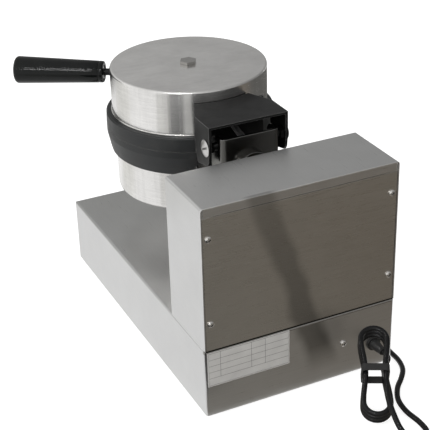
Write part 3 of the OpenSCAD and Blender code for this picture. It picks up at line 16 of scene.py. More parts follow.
import bmesh
import bpy
import numpy as np
from mathutils import Matrix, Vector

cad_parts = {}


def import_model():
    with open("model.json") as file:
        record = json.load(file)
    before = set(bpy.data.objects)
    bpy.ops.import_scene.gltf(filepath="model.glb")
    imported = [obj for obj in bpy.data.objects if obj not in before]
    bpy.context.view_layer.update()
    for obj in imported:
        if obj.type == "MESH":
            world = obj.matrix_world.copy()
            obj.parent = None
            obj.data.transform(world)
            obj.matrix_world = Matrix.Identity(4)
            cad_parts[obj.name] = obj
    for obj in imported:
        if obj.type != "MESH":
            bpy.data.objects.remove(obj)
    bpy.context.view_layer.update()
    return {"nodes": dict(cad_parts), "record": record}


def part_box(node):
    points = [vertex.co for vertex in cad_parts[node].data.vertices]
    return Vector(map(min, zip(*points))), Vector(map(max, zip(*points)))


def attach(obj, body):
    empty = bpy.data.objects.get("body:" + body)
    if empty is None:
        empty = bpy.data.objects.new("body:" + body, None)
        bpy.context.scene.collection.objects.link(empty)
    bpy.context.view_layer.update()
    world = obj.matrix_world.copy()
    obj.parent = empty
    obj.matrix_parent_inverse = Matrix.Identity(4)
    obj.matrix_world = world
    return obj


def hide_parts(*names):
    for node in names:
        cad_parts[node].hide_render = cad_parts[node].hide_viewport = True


LOG = logging.getLogger("waffle_baker")

Socket = bpy.types.NodeSocket
Piece = bpy.types.Object
Tint = tuple[float, float, float, float]
Triple = tuple[float, float, float]
# Points, one row each, and the faces as rows of their indices
Shell = tuple[np.ndarray, list]

MM = 0.001
# Shift from the base's own centre to the frame's origin, as the CAD part has it
FRAME_X = -36.9197 * MM
FRAME_Y = 8.7 * MM


def spot(x: float, y: float, z: float) -> np.ndarray:
    """A point given in millimetres from the base's centre, in the frame's metres."""
    return np.array([x * MM + FRAME_X, y * MM + FRAME_Y, z * MM])


# In millimetres from the base's centre, as in the CAD part, but for the drum's axis
DRUM_Y = -86.0
DRUM_AXIS = spot(0.0, DRUM_Y, 244.0)
FRONT_Y = -213.0
CONTROL_Z = 52.0
KNOB_X = 78.0


# Node graphs


@dataclass(frozen=True)
class Noise:
    """A noise pattern.

    Attributes:
        scale: How fine it is in a metre, all round or along each axis.
        detail: How many finer patterns it holds.
        rough: How strong those are.
    """

    scale: float | Triple
    detail: float = 2.0
    rough: float = 0.5


class Graph:
    """The node tree of a material or of the world, with short calls that add and link nodes.

    Attributes:
        LOOKS: Rays a point for the nodes that look round it.
        LEAN: The dot product of the rounded and the flat normal, off an edge and on it.
        OPEN: How open a point is that gets the full painted shade, and one that gets none.
        FACING: The least part of a normal along an axis for a surface that faces it.
    """

    LOOKS = 6
    LEAN = (0.98, 0.85)
    OPEN = (0.45, 0.85)
    FACING = 0.7

    def __init__(self, owner: bpy.types.Material | bpy.types.World) -> None:
        """Empties the owner's node tree.

        Args:
            owner: The material or the world.
        """
        owner.use_nodes = True
        self.owner = owner
        self.tree = owner.node_tree
        self.tree.nodes.clear()

    @classmethod
    def material(cls, name: str) -> Graph:
        """The empty graph of a new material."""
        return cls(bpy.data.materials.new(name))

    def node(self, kind: str, **settings: object) -> bpy.types.Node:
        """Adds a node.

        Args:
            kind: The node's class, such as ShaderNodeMath.
            **settings: Attributes to set on it.

        Returns:
            The node.
        """
        made = self.tree.nodes.new(kind)
        for key, value in settings.items():
            setattr(made, key, value)
        return made

    def join(self, source: Socket, target: Socket) -> None:
        """Links two sockets."""
        self.tree.links.new(source, target)

    def feed(self, socket: Socket, value: object) -> None:
        """Links an input socket to another socket, or sets a plain value on it.

        Args:
            socket: The input socket.
            value: An output socket, a number or a tuple.
        """
        if isinstance(value, Socket):
            self.join(value, socket)
        else:
            socket.default_value = value

    def fed(self, kind: str, *values: object, **settings: object) -> bpy.types.Node:
        """Adds a node and feeds its first inputs in order."""
        made = self.node(kind, **settings)
        for socket, value in zip(made.inputs, values):
            self.feed(socket, value)
        return made

    def math(self, operation: str, a: object, b: object = 0.0) -> Socket:
        """One Math node on sockets or numbers; returns its value."""
        return self.fed("ShaderNodeMath", a, b, operation=operation).outputs[0]

    def vector(self, operation: str, a: object, b: object) -> Socket:
        """One Vector Math node; returns its vector, or its value for a dot product."""
        made = self.fed("ShaderNodeVectorMath", a, b, operation=operation)
        return made.outputs["Value" if operation == "DOT_PRODUCT" else "Vector"]

    def ramp(self, value: object, low: float, high: float, start: float = 0.0,
             end: float = 1.0, kind: str = "LINEAR") -> Socket:
        """Maps value from low..high to start..end, held at both ends."""
        made = self.fed("ShaderNodeMapRange", value, low, high, start, end,
                        interpolation_type=kind)
        return made.outputs[0]

    def blend(self, factor: object, a: object, b: object) -> Socket:
        """Mixes two colours."""
        made = self.node("ShaderNodeMix", data_type="RGBA")
        self.feed(made.inputs["Factor"], factor)
        self.feed(made.inputs[6], a)
        self.feed(made.inputs[7], b)
        return made.outputs[2]

    def every(self, *masks: Socket) -> Socket:
        """The product of masks: 1 where all of them are 1."""
        whole = masks[0]
        for mask in masks[1:]:
            whole = self.math("MULTIPLY", whole, mask)
        return whole

    def weighted(self, *shares: tuple[Socket, object]) -> Socket:
        """The sum of values, each times its weight."""
        parts = [self.math("MULTIPLY", value, weight) for value, weight in shares]
        whole = parts[0]
        for part in parts[1:]:
            whole = self.math("ADD", whole, part)
        return whole

    def near(self, value: object, middle: float, half: float) -> Socket:
        """1 where value is within half of the middle, and 0 elsewhere."""
        away = self.math("ABSOLUTE", self.math("SUBTRACT", value, middle))
        return self.math("LESS_THAN", away, half)

    def place(self) -> Socket:
        """The surface point in the object's coordinates, in metres."""
        return self.node("ShaderNodeTexCoord").outputs["Object"]

    def parts(self, vector: Socket) -> dict[str, Socket]:
        """A vector's x, y and z."""
        return dict(zip("xyz", self.fed("ShaderNodeSeparateXYZ", vector).outputs))

    def combined(self, x: object, y: object = 0.0, z: object = 0.0) -> Socket:
        """A vector from three values."""
        return self.fed("ShaderNodeCombineXYZ", x, y, z).outputs[0]

    def axes(self) -> dict[str, Socket]:
        """The surface point's own x, y and z, in metres."""
        return self.parts(self.place())

    def noise(self, kind: Noise, at: Socket | None = None) -> Socket:
        """A noise pattern's value from 0 to 1, at the surface point or at another one."""
        point, scale = self.place() if at is None else at, kind.scale
        if isinstance(scale, tuple):
            point, scale = self.vector("MULTIPLY", point, scale), 1.0
        made = self.node("ShaderNodeTexNoise")
        for name, value in (("Vector", point), ("Scale", scale), ("Detail", kind.detail),
                            ("Roughness", kind.rough)):
            self.feed(made.inputs[name], value)
        return made.outputs["Fac"]

    def facing(self, axis: str) -> Socket:
        """1 on surfaces that face along the axis, either way, and 0 elsewhere."""
        normal = self.parts(self.node("ShaderNodeNewGeometry").outputs["Normal"])
        return self.math("GREATER_THAN", self.math("ABSOLUTE", normal[axis]), self.FACING)

    def bump(self, height: object, strength: float, distance: float,
             normal: Socket | None = None) -> Socket:
        """A bumped normal from a height; distance is in metres."""
        made = self.node("ShaderNodeBump")
        for name, value in (("Strength", strength), ("Distance", distance), ("Height", height)):
            self.feed(made.inputs[name], value)
        if normal is not None:
            self.join(normal, made.inputs["Normal"])
        return made.outputs[0]

    def soft_edges(self, radius: float) -> Socket:
        """A normal that is rounded near sharp edges, as a deburred edge is."""
        made = self.node("ShaderNodeBevel", samples=self.LOOKS)
        made.inputs["Radius"].default_value = radius
        return made.outputs[0]

    def edge_mask(self, radius: float) -> Socket:
        """1 on the sheet's folds and edges, and 0 off them."""
        flat = self.node("ShaderNodeNewGeometry").outputs["True Normal"]
        lean = self.vector("DOT_PRODUCT", self.soft_edges(radius), flat)
        return self.ramp(lean, *self.LEAN)

    def recess_shade_mask(self, reach: float) -> Socket:
        """1 in the piece's own slots and recesses narrower than reach, where shade is painted."""
        made = self.node("ShaderNodeAmbientOcclusion", samples=self.LOOKS, only_local=True)
        made.inputs["Distance"].default_value = reach
        return self.ramp(made.outputs["AO"], *self.OPEN, 1.0, 0.0)

    def shader(self, kind: str, **inputs: object) -> Socket:
        """Adds a shader.

        Args:
            kind: The node's class.
            **inputs: Socket names with underscores for spaces, and their values or sources.

        Returns:
            Its output.
        """
        made = self.node(kind)
        for key, value in inputs.items():
            self.feed(made.inputs[key.replace("_", " ")], value)
        return made.outputs[0]

    def mixed(self, factor: Socket, a: Socket, b: Socket) -> Socket:
        """Mixes two shaders."""
        return self.fed("ShaderNodeMixShader", factor, a, b).outputs[0]

    def close(self, shader: Socket, kind: str = "ShaderNodeOutputMaterial") -> None:
        """Adds the tree's output and links the whole shader to it."""
        self.join(shader, self.node(kind).inputs["Surface"])

    def surface(self, **inputs: object) -> bpy.types.Material:
        """Closes the tree with the main shader, set as in shader(); returns the material."""
        self.close(self.shader("ShaderNodeBsdfPrincipled", **inputs))
        return self.owner


def colour(r: float, g: float, b: float) -> Tint:
    """An opaque colour from three numbers."""
    return (r, g, b, 1.0)


def shade(tint: Tint, factor: float, lift: float = 0.0) -> Tint:
    """A colour times a factor, plus a lift, held at 1."""
    return colour(*(min(1.0, c * factor + lift) for c in tint[:3]))


# Finishes

TUMBLED = Noise(700.0, 3.0, 0.6)
PATCHES = Noise(22.0, 4.0, 0.6)
# Round the drum, where x is the angle in radians and y the height
STREAKS = Noise((26.0, 9.0, 1.0), 3.0, 0.6)
RINGS = Noise((2.2, 620.0, 1.0), 4.0, 0.7)
STRAIGHT = Noise((22.0, 2800.0, 1.0), 1.0)
# Fineness across and along a sheet's grain, detail and weight
SHEET_LINES = ((700.0, 16.0, 2.0, 0.45), (2600.0, 40.0, 1.0, 0.55))
# Waver of the painted reflection's edges on the rear
REFLECTION_WAVER = Noise(11.0, 3.0, 0.6)
PITS = Noise(900.0, 3.0, 0.7)
BAKED_ON = Noise(40.0, 5.0, 0.65)
ORANGE_PEEL = Noise(420.0)
DUST = Noise(60.0, 5.0, 0.7)
FLOW = Noise(35.0, 4.0, 0.6)
FOIL_GRAIN = Noise((60.0, 2400.0, 2400.0))
FOIL_CLOUD = Noise(45.0, 4.0, 0.6)
LENS_GRAIN = Noise(500.0)
FUZZ = Noise(260.0, 6.0, 0.75)
FIBRE_CLOUD = Noise(30.0, 3.0, 0.6)
FLOOR_CLOUD = Noise(3.0)

# Colour of the painted highlight on folds and edges
EDGE_HIGHLIGHT_TINT = colour(0.98, 0.98, 0.97)
# Colour of the painted shade in slots and recesses
RECESS_SHADE_TINT = colour(0.02, 0.02, 0.02)
FOIL = colour(0.51, 0.50, 0.48)
DULL_FOIL = colour(0.45, 0.44, 0.425)
INK = colour(0.10, 0.095, 0.09)
WHITE_PAINT = colour(0.75, 0.75, 0.73)
SHANK_BLACK = colour(0.03, 0.03, 0.03)


class Grain(Enum):
    """How a steel surface was brushed."""

    SHEET = "along the sheet's length"
    SPUN = "round the drum's axis"
    NONE = "tumbled"


@dataclass(frozen=True)
class Zone:
    """A box of the frame with a colour of its own, such as painted shade in a seam or a painted
    groove.

    Attributes:
        tint: Its colour.
        x: Its limits along X in metres.
        y: Its limits along Y.
        z: Its limits along Z.
    """

    tint: Tint
    x: tuple[float, float] = (-math.inf, math.inf)
    y: tuple[float, float] = (-math.inf, math.inf)
    z: tuple[float, float] = (-math.inf, math.inf)

    def mask(self, g: Graph) -> Socket:
        """1 inside the box and 0 outside it."""
        at = g.axes()
        return g.every(*(g.math(side, at[axis], limit)
                         for axis, limits in (("x", self.x), ("y", self.y), ("z", self.z))
                         for side, limit in zip(("GREATER_THAN", "LESS_THAN"), limits)
                         if math.isfinite(limit)))


@dataclass(frozen=True)
class PaintedReflection:
    """A painted reflection: a broad, cloudy dark band across the rear's sheet.

    Attributes:
        high: X and Z of its upper end in metres.
        low: X and Z of its lower end.
        half: Half its width in metres.
        depth: How strong it is at its lower end, from 0 to 1.
        from_y: Where it starts, toward the rear.
        tint: Its colour.
        sway: How far noise moves its middle line, in metres.
    """

    high: tuple[float, float]
    low: tuple[float, float]
    half: float
    depth: float
    from_y: float
    tint: Tint = (0.25, 0.245, 0.235, 1.0)
    sway: float = 0.03

    def mask(self, g: Graph) -> Socket:
        """A soft step of the distance to the wavering middle line, stronger low down."""
        run = np.array(self.low) - np.array(self.high)
        across = np.array([-run[1], run[0]]) / float(np.linalg.norm(run))
        at = g.axes()
        place = g.vector("DOT_PRODUCT", g.place(), (float(across[0]), 0.0, float(across[1])))
        waver = g.math("MULTIPLY", g.math("SUBTRACT", g.noise(REFLECTION_WAVER), 0.5), self.sway)
        off = g.math("SUBTRACT", place, float(across @ np.array(self.high)))
        share = g.ramp(g.math("ABSOLUTE", g.math("ADD", off, waver)),
                       self.half * 0.35, self.half, 1.0, 0.0, "SMOOTHSTEP")
        strength = g.ramp(at["z"], self.high[1], self.low[1], self.depth * 0.6, self.depth)
        fade = g.ramp(at["z"], self.low[1] * 0.4, self.low[1])
        return g.every(share, strength, fade, g.math("GREATER_THAN", at["y"], self.from_y))


@dataclass(frozen=True)
class BrushedSteel:
    """Stainless or plated steel with brush lines, faint stains, rounded edges and a painted
    highlight on its folds and edges.

    Attributes:
        name: The material's name.
        tint: The metal's colour.
        grain: How it was brushed.
        rough: Its middle roughness.
        spread: How far the roughness varies along the brush lines.
        blur: Anisotropy of the shine.
        depth: Height of the brush lines in metres.
        edge: Radius of the rounded edges in metres.
        stain: Strength of the broad, faint colour change.
        edge_highlight_strength: Strength of the painted highlight on its folds and edges, from 0 to
            1.
        shaded_hollow: Widest slot or recess that gets painted shade, in metres, or 0.
        marks: Places with a colour of their own; on the rear's steel these are painted shade and a
            painted reflection.
    """

    name: str
    tint: Tint
    grain: Grain = Grain.SHEET
    rough: float = 0.32
    spread: float = 0.12
    blur: float = 0.55
    depth: float = 0.00002
    edge: float = 0.0006
    stain: float = 0.08
    edge_highlight_strength: float = 0.0
    shaded_hollow: float = 0.0
    marks: tuple[Zone | PaintedReflection, ...] = ()

    def spun(self, g: Graph) -> tuple[Socket, Socket]:
        """Straight lines for a cup's flat end, and rings with streaks for its side."""
        centred = g.parts(g.vector("SUBTRACT", g.place(), tuple(DRUM_AXIS)))
        around = g.combined(g.math("ARCTAN2", centred["y"], centred["x"]), centred["z"])
        calm = g.math("ADD", g.math("MULTIPLY", g.noise(STRAIGHT), 0.35), 0.325)
        return calm, g.weighted((g.noise(STREAKS, around), 0.35), (g.noise(RINGS, around), 0.65))

    def rolled(self, g: Graph) -> tuple[Socket, Socket]:
        """Lines along X for the faces toward front and rear, and along Y for the others."""
        found = [[], []]
        for axis, shares in enumerate(found):
            for across, along, detail, weight in SHEET_LINES:
                scales = [across] * 3
                scales[axis] = along
                shares.append((g.noise(Noise(tuple(scales), detail)), weight))
        return g.weighted(*found[0]), g.weighted(*found[1])

    def lines(self, g: Graph) -> tuple[Socket, Socket | None]:
        """Brush lines as noise that is stretched along the grain.

        Args:
            g: The material's graph.

        Returns:
            The line value from 0 to 1, and the direction of the grain, or None.
        """
        if self.grain is Grain.NONE:
            return g.noise(TUMBLED), None
        spun = self.grain is Grain.SPUN
        turned = g.facing("z" if spun else "y")
        rest = g.math("SUBTRACT", 1.0, turned)
        first, second = self.spun(g) if spun else self.rolled(g)
        direction = g.combined(turned, z=rest) if spun else g.combined(turned, y=rest)
        return g.weighted((first, turned), (second, rest)), direction

    def build(self) -> bpy.types.Material:
        """Builds the material."""
        g = Graph.material(self.name)
        line, direction = self.lines(g)
        tone = g.weighted((line, 0.6), (g.noise(PATCHES), 0.4))
        base = g.blend(g.ramp(tone, 0.3, 0.7), shade(self.tint, 1.0 - self.stain),
                       shade(self.tint, 1.0 + self.stain * 0.6))
        half = self.spread / 2
        rough = g.ramp(line, 0.25, 0.75, self.rough - half, self.rough + half)
        # Painted highlight on folds and edges, in place of the light that a rounded fold catches
        if self.edge_highlight_strength > 0.0:
            painted_edge_highlight = g.math("MULTIPLY", g.edge_mask(self.edge * 2.0), self.edge_highlight_strength)
            base = g.blend(painted_edge_highlight, base, EDGE_HIGHLIGHT_TINT)
        for mark in self.marks:
            base = g.blend(mark.mask(g), base, mark.tint)
        # Painted shade in the piece's own slots and recesses
        if self.shaded_hollow > 0.0:
            base = g.blend(g.recess_shade_mask(self.shaded_hollow), base, RECESS_SHADE_TINT)
        brushed = {} if direction is None else {"Anisotropic": self.blur, "Tangent": direction}
        normal = g.bump(line, 0.25, self.depth, g.soft_edges(self.edge))
        return g.surface(Base_Color=base, Roughness=rough, Normal=normal, Metallic=1.0, **brushed)


@dataclass(frozen=True)
class CastEnamel:
    """Cast metal under a black satin coat, with the casting's fine pits and baked-on marks."""

    name: str
    tint: Tint = colour(0.0115, 0.0125, 0.013)
    worn: Tint = colour(0.021, 0.021, 0.0205)
    chipped: Tint = colour(0.12, 0.12, 0.115)
    rough: float = 0.44

    def build(self) -> bpy.types.Material:
        """Builds the material."""
        g = Graph.material(self.name)
        pits, marks = g.noise(PITS), g.noise(BAKED_ON)
        base = g.blend(g.ramp(marks, 0.45, 0.75), self.tint, self.worn)
        base = g.blend(g.math("MULTIPLY", g.edge_mask(0.0012), 0.5), base, self.chipped)
        return g.surface(Base_Color=base, Specular_IOR_Level=0.36,
                         Roughness=g.ramp(marks, 0.3, 0.7, self.rough - 0.08, self.rough + 0.1),
                         Normal=g.bump(pits, 0.5, 0.00008, g.soft_edges(0.0006)))


@dataclass(frozen=True)
class Paint:
    """Semi-gloss paint on steel with a faint orange-peel surface and a painted highlight on its
    edges.
    """

    name: str
    tint: Tint
    rough: float
    edge: float = 0.0009
    painted_edge_highlight: Tint = colour(0.22, 0.22, 0.215)

    def build(self) -> bpy.types.Material:
        """Builds the material."""
        g = Graph.material(self.name)
        peel, dust = g.noise(ORANGE_PEEL), g.noise(DUST)
        base = g.blend(g.ramp(dust, 0.4, 0.8), self.tint, shade(self.tint, 1.6))
        # Painted highlight on the edges
        base = g.blend(g.math("MULTIPLY", g.edge_mask(self.edge), 0.7), base, self.painted_edge_highlight)
        return g.surface(Base_Color=base, Specular_IOR_Level=0.19,
                         Roughness=g.ramp(dust, 0.3, 0.75, self.rough - 0.06, self.rough + 0.12),
                         Normal=g.bump(peel, 0.12, 0.0001, g.soft_edges(self.edge)))


@dataclass(frozen=True)
class Moulded:
    """Moulded plastic, bakelite or rubber with its own gloss, flow marks and fine grain.

    Attributes:
        name: The material's name.
        tint: Its colour.
        rough: Its middle roughness.
        grain_scale: How fine the surface grain is.
        grain_depth: Height of the grain in metres.
        edge: Radius of the rounded edges in metres, or 0 to leave them as the mesh has them.
        variation: Strength of the flow marks.
        coat: Weight of a clear gloss on top.
        shine: Strength of the plain reflection.
        marks: Places with a colour of their own.
    """

    name: str
    tint: Tint
    rough: float = 0.35
    grain_scale: float = 600.0
    grain_depth: float = 0.00003
    edge: float = 0.0005
    variation: float = 0.25
    coat: float = 0.0
    shine: float = 0.5
    marks: tuple[Zone, ...] = ()

    def build(self) -> bpy.types.Material:
        """Builds the material."""
        g = Graph.material(self.name)
        grain, flow = g.noise(Noise(self.grain_scale, rough=0.6)), g.noise(FLOW)
        base = g.blend(g.ramp(flow, 0.35, 0.7), self.tint,
                       shade(self.tint, 1.0 + self.variation, 0.002))
        for mark in self.marks:
            base = g.blend(mark.mask(g), base, mark.tint)
        rounded = g.soft_edges(self.edge) if self.edge > 0.0 else None
        return g.surface(Base_Color=base, Coat_Weight=self.coat, Specular_IOR_Level=self.shine,
                         Roughness=g.ramp(flow, 0.3, 0.7, self.rough * 0.94, self.rough * 1.1),
                         Normal=g.bump(grain, 0.3, self.grain_depth, rounded))


@dataclass(frozen=True)
class RuledPlate:
    """A satin metal plate with a printed table that is left blank.

    Attributes:
        name: The material's name.
        left: X of the plate's +X edge in metres.
        right: X of its -X edge.
        top: Height of its top edge.
        bottom: Height of its bottom edge.
        columns: Upright lines, as shares of the width from the +X edge.
        rows: Level lines, as shares of the height from the top; the last ends the upright ones.
        border: Width of the bare margin.
        line: Width of a line.
    """

    name: str
    left: float
    right: float
    top: float
    bottom: float
    columns: tuple[float, ...] = (0.155, 0.53, 0.70)
    rows: tuple[float, ...] = (0.22, 0.40, 0.58, 0.76)
    border: float = 0.0014
    line: float = 0.0005

    def ruled(self, g: Graph, value: Socket, places: list[float]) -> Socket:
        """1 on lines at any of those places, 0 elsewhere."""
        whole = g.near(value, places[0], self.line / 2)
        for place in places[1:]:
            whole = g.math("MAXIMUM", whole, g.near(value, place, self.line / 2))
        return whole

    def ruling(self, g: Graph) -> Socket:
        """1 on the table's lines and its frame, 0 elsewhere."""
        at = g.axes()
        wide, high = self.right - self.left, self.bottom - self.top
        sides = [self.left - self.border, self.right + self.border]
        ends = [self.top - self.border, self.bottom + self.border]
        inner = self.ruled(g, at["x"], [self.left + wide * share for share in self.columns])
        above = g.math("GREATER_THAN", at["z"], self.top + high * self.rows[-1])
        upright = g.math("MAXIMUM", self.ruled(g, at["x"], sides), g.every(inner, above))
        level = self.ruled(g, at["z"], ends + [self.top + high * share for share in self.rows])
        table = Zone(INK, x=(sides[1], sides[0]), z=(ends[1] - self.line, ends[0] + self.line))
        return g.every(g.math("MAXIMUM", upright, level), table.mask(g))

    def build(self) -> bpy.types.Material:
        """Builds the material."""
        g = Graph.material(self.name)
        grain = g.noise(FOIL_GRAIN)
        foil = g.blend(g.ramp(g.noise(FOIL_CLOUD), 0.35, 0.7), FOIL, DULL_FOIL)
        printed = g.math("MULTIPLY", self.ruling(g), 0.85)
        return g.surface(Base_Color=g.blend(printed, foil, INK), Metallic=0.15,
                         Roughness=g.ramp(grain, 0.2, 0.8, 0.34, 0.46),
                         Normal=g.bump(grain, 0.2, 0.00002, g.soft_edges(0.0003)))


@dataclass(frozen=True)
class Lens:
    """Coloured translucent lens of a pilot lamp, with a fine grain."""

    name: str
    tint: Tint

    def build(self) -> bpy.types.Material:
        """Builds the material."""
        g = Graph.material(self.name)
        grain = g.noise(LENS_GRAIN)
        return g.surface(Base_Color=g.blend(grain, self.tint, shade(self.tint, 0.6)),
                         Transmission_Weight=0.35, Coat_Weight=0.5,
                         Roughness=g.ramp(grain, 0.2, 0.8, 0.1, 0.2),
                         Normal=g.bump(grain, 0.1, 0.0001))


@dataclass(frozen=True)
class Fibre:
    """White ceramic fibre board, or a woven glass sleeve."""

    name: str
    tint: Tint

    def build(self) -> bpy.types.Material:
        """Builds the material."""
        g = Graph.material(self.name)
        base = g.blend(g.noise(FIBRE_CLOUD), self.tint, shade(self.tint, 0.86))
        return g.surface(Base_Color=base, Roughness=0.9, Sheen_Weight=0.2,
                         Normal=g.bump(g.noise(FUZZ), 0.8, 0.0004))


REAR_FACE = FRAME_Y + 208.0 * MM
# Painted shade in the joint between the column's foot and the base, and a paler painted shade on
# the bright fold below it, which dims the fold's highlight
REAR_SEAM_SHADE = Zone(colour(0.035, 0.031, 0.026), y=(REAR_FACE, math.inf),
                 z=(94.9 * MM, 96.7 * MM))
REAR_FOLD_SHADE = Zone(colour(0.34, 0.33, 0.315), y=(REAR_FACE, math.inf),
                 z=(92.4 * MM, 94.9 * MM))
# A painted reflection: a broad dark band that slants down across the rear's sheet
REAR_REFLECTION = PaintedReflection((41.0 * MM + FRAME_X, 248.7 * MM), (-18.0 * MM + FRAME_X, 60.5 * MM),
                 23.0 * MM, 0.90, REAR_FACE)
# Painted shade and a painted reflection on the rear's steel
REAR_PAINTED_LIGHT = (REAR_REFLECTION, REAR_FOLD_SHADE, REAR_SEAM_SHADE)

STAINLESS = BrushedSteel("stainless sheet", colour(0.63, 0.63, 0.625), edge=0.0010, edge_highlight_strength=0.9,
                         marks=REAR_PAINTED_LIGHT)
SPUN_STEEL = BrushedSteel("spun stainless", colour(0.79, 0.78, 0.765), Grain.SPUN, 0.25, 0.08,
                          0.5, depth=0.000007, stain=0.24, edge_highlight_strength=0.15)
REAR_STEEL = BrushedSteel("rear panel steel", colour(0.575, 0.56, 0.53), rough=0.30,
                          marks=REAR_PAINTED_LIGHT)
HEXAGON_STEEL = BrushedSteel("hexagon bolt steel", colour(0.40, 0.39, 0.375), Grain.NONE,
                             0.14, 0.06, depth=0.00001, edge=0.0003)
CROSS_STEEL = BrushedSteel("cross recess screw steel", colour(0.80, 0.78, 0.75), Grain.NONE,
                           0.18, 0.06, depth=0.00001, edge=0.0003, stain=0.04, shaded_hollow=0.0016)
HINGE_STEEL = BrushedSteel("hinge bolt steel", colour(0.58, 0.57, 0.56), Grain.NONE,
                           0.30, 0.10, depth=0.00001, edge=0.0004, shaded_hollow=0.004)
ZINC = BrushedSteel("zinc plated steel", colour(0.60, 0.61, 0.62), Grain.NONE, 0.38, 0.1)
BRIGHT = BrushedSteel("bright screw steel", colour(0.86, 0.85, 0.84), Grain.NONE, 0.16, 0.06,
                      depth=0.00001, edge=0.0003, stain=0.04)
BLACKENED = BrushedSteel("blackened steel", colour(0.16, 0.157, 0.15), Grain.NONE, 0.22, 0.10,
                         edge=0.0008, edge_highlight_strength=0.25)
HEATER_STEEL = BrushedSteel("heat-darkened steel", colour(0.24, 0.21, 0.19), Grain.NONE,
                            0.45, 0.1)
BRONZE = BrushedSteel("oiled bronze", colour(0.60, 0.40, 0.20), Grain.NONE, 0.35, 0.1)
BRASS = BrushedSteel("brass", colour(0.72, 0.52, 0.24), Grain.NONE, 0.28, 0.1)
CAST = CastEnamel("black cast plate")
BRACKET_PAINT = Paint("black bracket paint", colour(0.0045, 0.0045, 0.0045), 0.34)
BAKELITE = Moulded("black bakelite", colour(0.0035, 0.004, 0.0038), 0.12, 90.0, 0.000004,
                   edge=0.0, shine=0.20)
BLACK_PLASTIC = Moulded("black plastic", colour(0.014, 0.014, 0.014), 0.42)
CORD_RUBBER = Moulded("black cord sheath", colour(0.004, 0.004, 0.0045), 0.15, 260.0, 0.00002,
                      shine=0.25)
RUBBER = Moulded("black rubber", colour(0.012, 0.012, 0.012), 0.62, 500.0, 0.00006)
RED_PLASTIC = Moulded("red rocker", colour(0.42, 0.012, 0.010), 0.22, 500.0, coat=0.3)
CERAMIC = Moulded("off-white ceramic", colour(0.78, 0.75, 0.67), 0.5, 500.0, 0.00005,
                  variation=0.1)
PRINT = Moulded("black print", colour(0.012, 0.012, 0.012), 0.5, 800.0, 0.00001)
WIRE_RED = Moulded("red wire", colour(0.36, 0.03, 0.02), 0.4)
SLEEVE = Fibre("woven glass sleeve", colour(0.03, 0.03, 0.03))
WOOL = Fibre("ceramic fibre", colour(0.86, 0.85, 0.80))
GREEN_LENS = Lens("green lens", colour(0.05, 0.42, 0.10))
RED_LENS = Lens("red lens", colour(0.55, 0.03, 0.02))

# The finish of each material slot of the record
SLOT_FINISHES: dict[str, object] = {
    "stainless": STAINLESS, "dark_panel": REAR_STEEL, "dark_steel": BLACKENED,
    "bright_steel": BRIGHT, "zinc_steel": ZINC, "black_enamel": CAST,
    "black_paint": BRACKET_PAINT, "black_bakelite": BAKELITE, "black_plastic": BLACK_PLASTIC,
    "red_plastic": RED_PLASTIC, "green_lens": GREEN_LENS, "red_lens": RED_LENS,
    "ceramic": CERAMIC, "wire_sleeve": SLEEVE, "wire_red": WIRE_RED, "bronze": BRONZE,
    "brass": BRASS, "rubber": RUBBER, "cord_rubber": CORD_RUBBER,
    "heater_steel": HEATER_STEEL, "fibre": WOOL,
}
# Nodes whose finish differs from their slot's
NODE_FINISHES: dict[str, object] = {
    "upper_cup": SPUN_STEEL, "lower_cup": SPUN_STEEL, "upper_cup_bolt": HEXAGON_STEEL,
    "lower_cup_bolt": HEXAGON_STEEL, "rear_screws": CROSS_STEEL,
}


class Palette:
    """Builds each finish once and hands out its material."""

    def __init__(self) -> None:
        """Starts with nothing built."""
        self.made: dict[str, bpy.types.Material] = {}

    def of(self, finish: object) -> bpy.types.Material:
        """The finish's material, built on first use."""
        if finish.name not in self.made:
            self.made[finish.name] = finish.build()
        return self.made[finish.name]

    def dress(self, piece: Piece, finish: object) -> None:
        """Gives a piece one material all over."""
        piece.data.materials.clear()
        piece.data.materials.append(self.of(finish))


# Meshes


def linked(name: str, data: bpy.types.ID) -> Piece:
    """A new object with that data, at the origin and linked to the scene."""
    made = bpy.data.objects.new(name, data)
    bpy.context.scene.collection.objects.link(made)
    return made


def mesh_piece(name: str, points: np.ndarray, faces: np.ndarray | list,
               smooth: bool = True) -> Piece:
    """Makes an object from points and faces, at the origin.

    Args:
        name: The object's name.
        points: An array of points, one row each, in metres.
        faces: Rows of point indices.
        smooth: Whether its faces shade smoothly.

    Returns:
        The object, linked to the scene.
    """
    mesh = bpy.data.meshes.new(name)
    rows = faces.tolist() if isinstance(faces, np.ndarray) else faces
    mesh.from_pydata(points.tolist(), [], rows)
    mesh.validate()
    mesh.polygons.foreach_set("use_smooth", np.full(len(mesh.polygons), smooth))
    mesh.update()
    return linked(name, mesh)


def outward(piece: Piece) -> None:
    """Turns a closed piece's faces outwards."""
    made = bmesh.new()
    made.from_mesh(piece.data)
    bmesh.ops.remove_doubles(made, verts=made.verts[:], dist=1e-7)
    bmesh.ops.recalc_face_normals(made, faces=made.faces[:])
    made.to_mesh(piece.data)
    made.free()


def grid_faces(rows: int, columns: int) -> np.ndarray:
    """Quads between rings of points that are stored ring by ring.

    The quad at row i and column j joins the points (i, j), (i, j + 1), (i + 1, j + 1) and
    (i + 1, j), and the column after the last one is the first.

    Args:
        rows: Number of rings.
        columns: Number of points in a ring.

    Returns:
        An array of four indices a face, wound so that the surface of a tube whose rings turn
        anticlockwise about its direction of travel faces outwards.
    """
    i, j = np.meshgrid(np.arange(rows - 1), np.arange(columns), indexing="ij")
    a = (i * columns + j).ravel()
    b = (i * columns + (j + 1) % columns).ravel()
    return np.stack([a, b, b + columns, a + columns], axis=1)


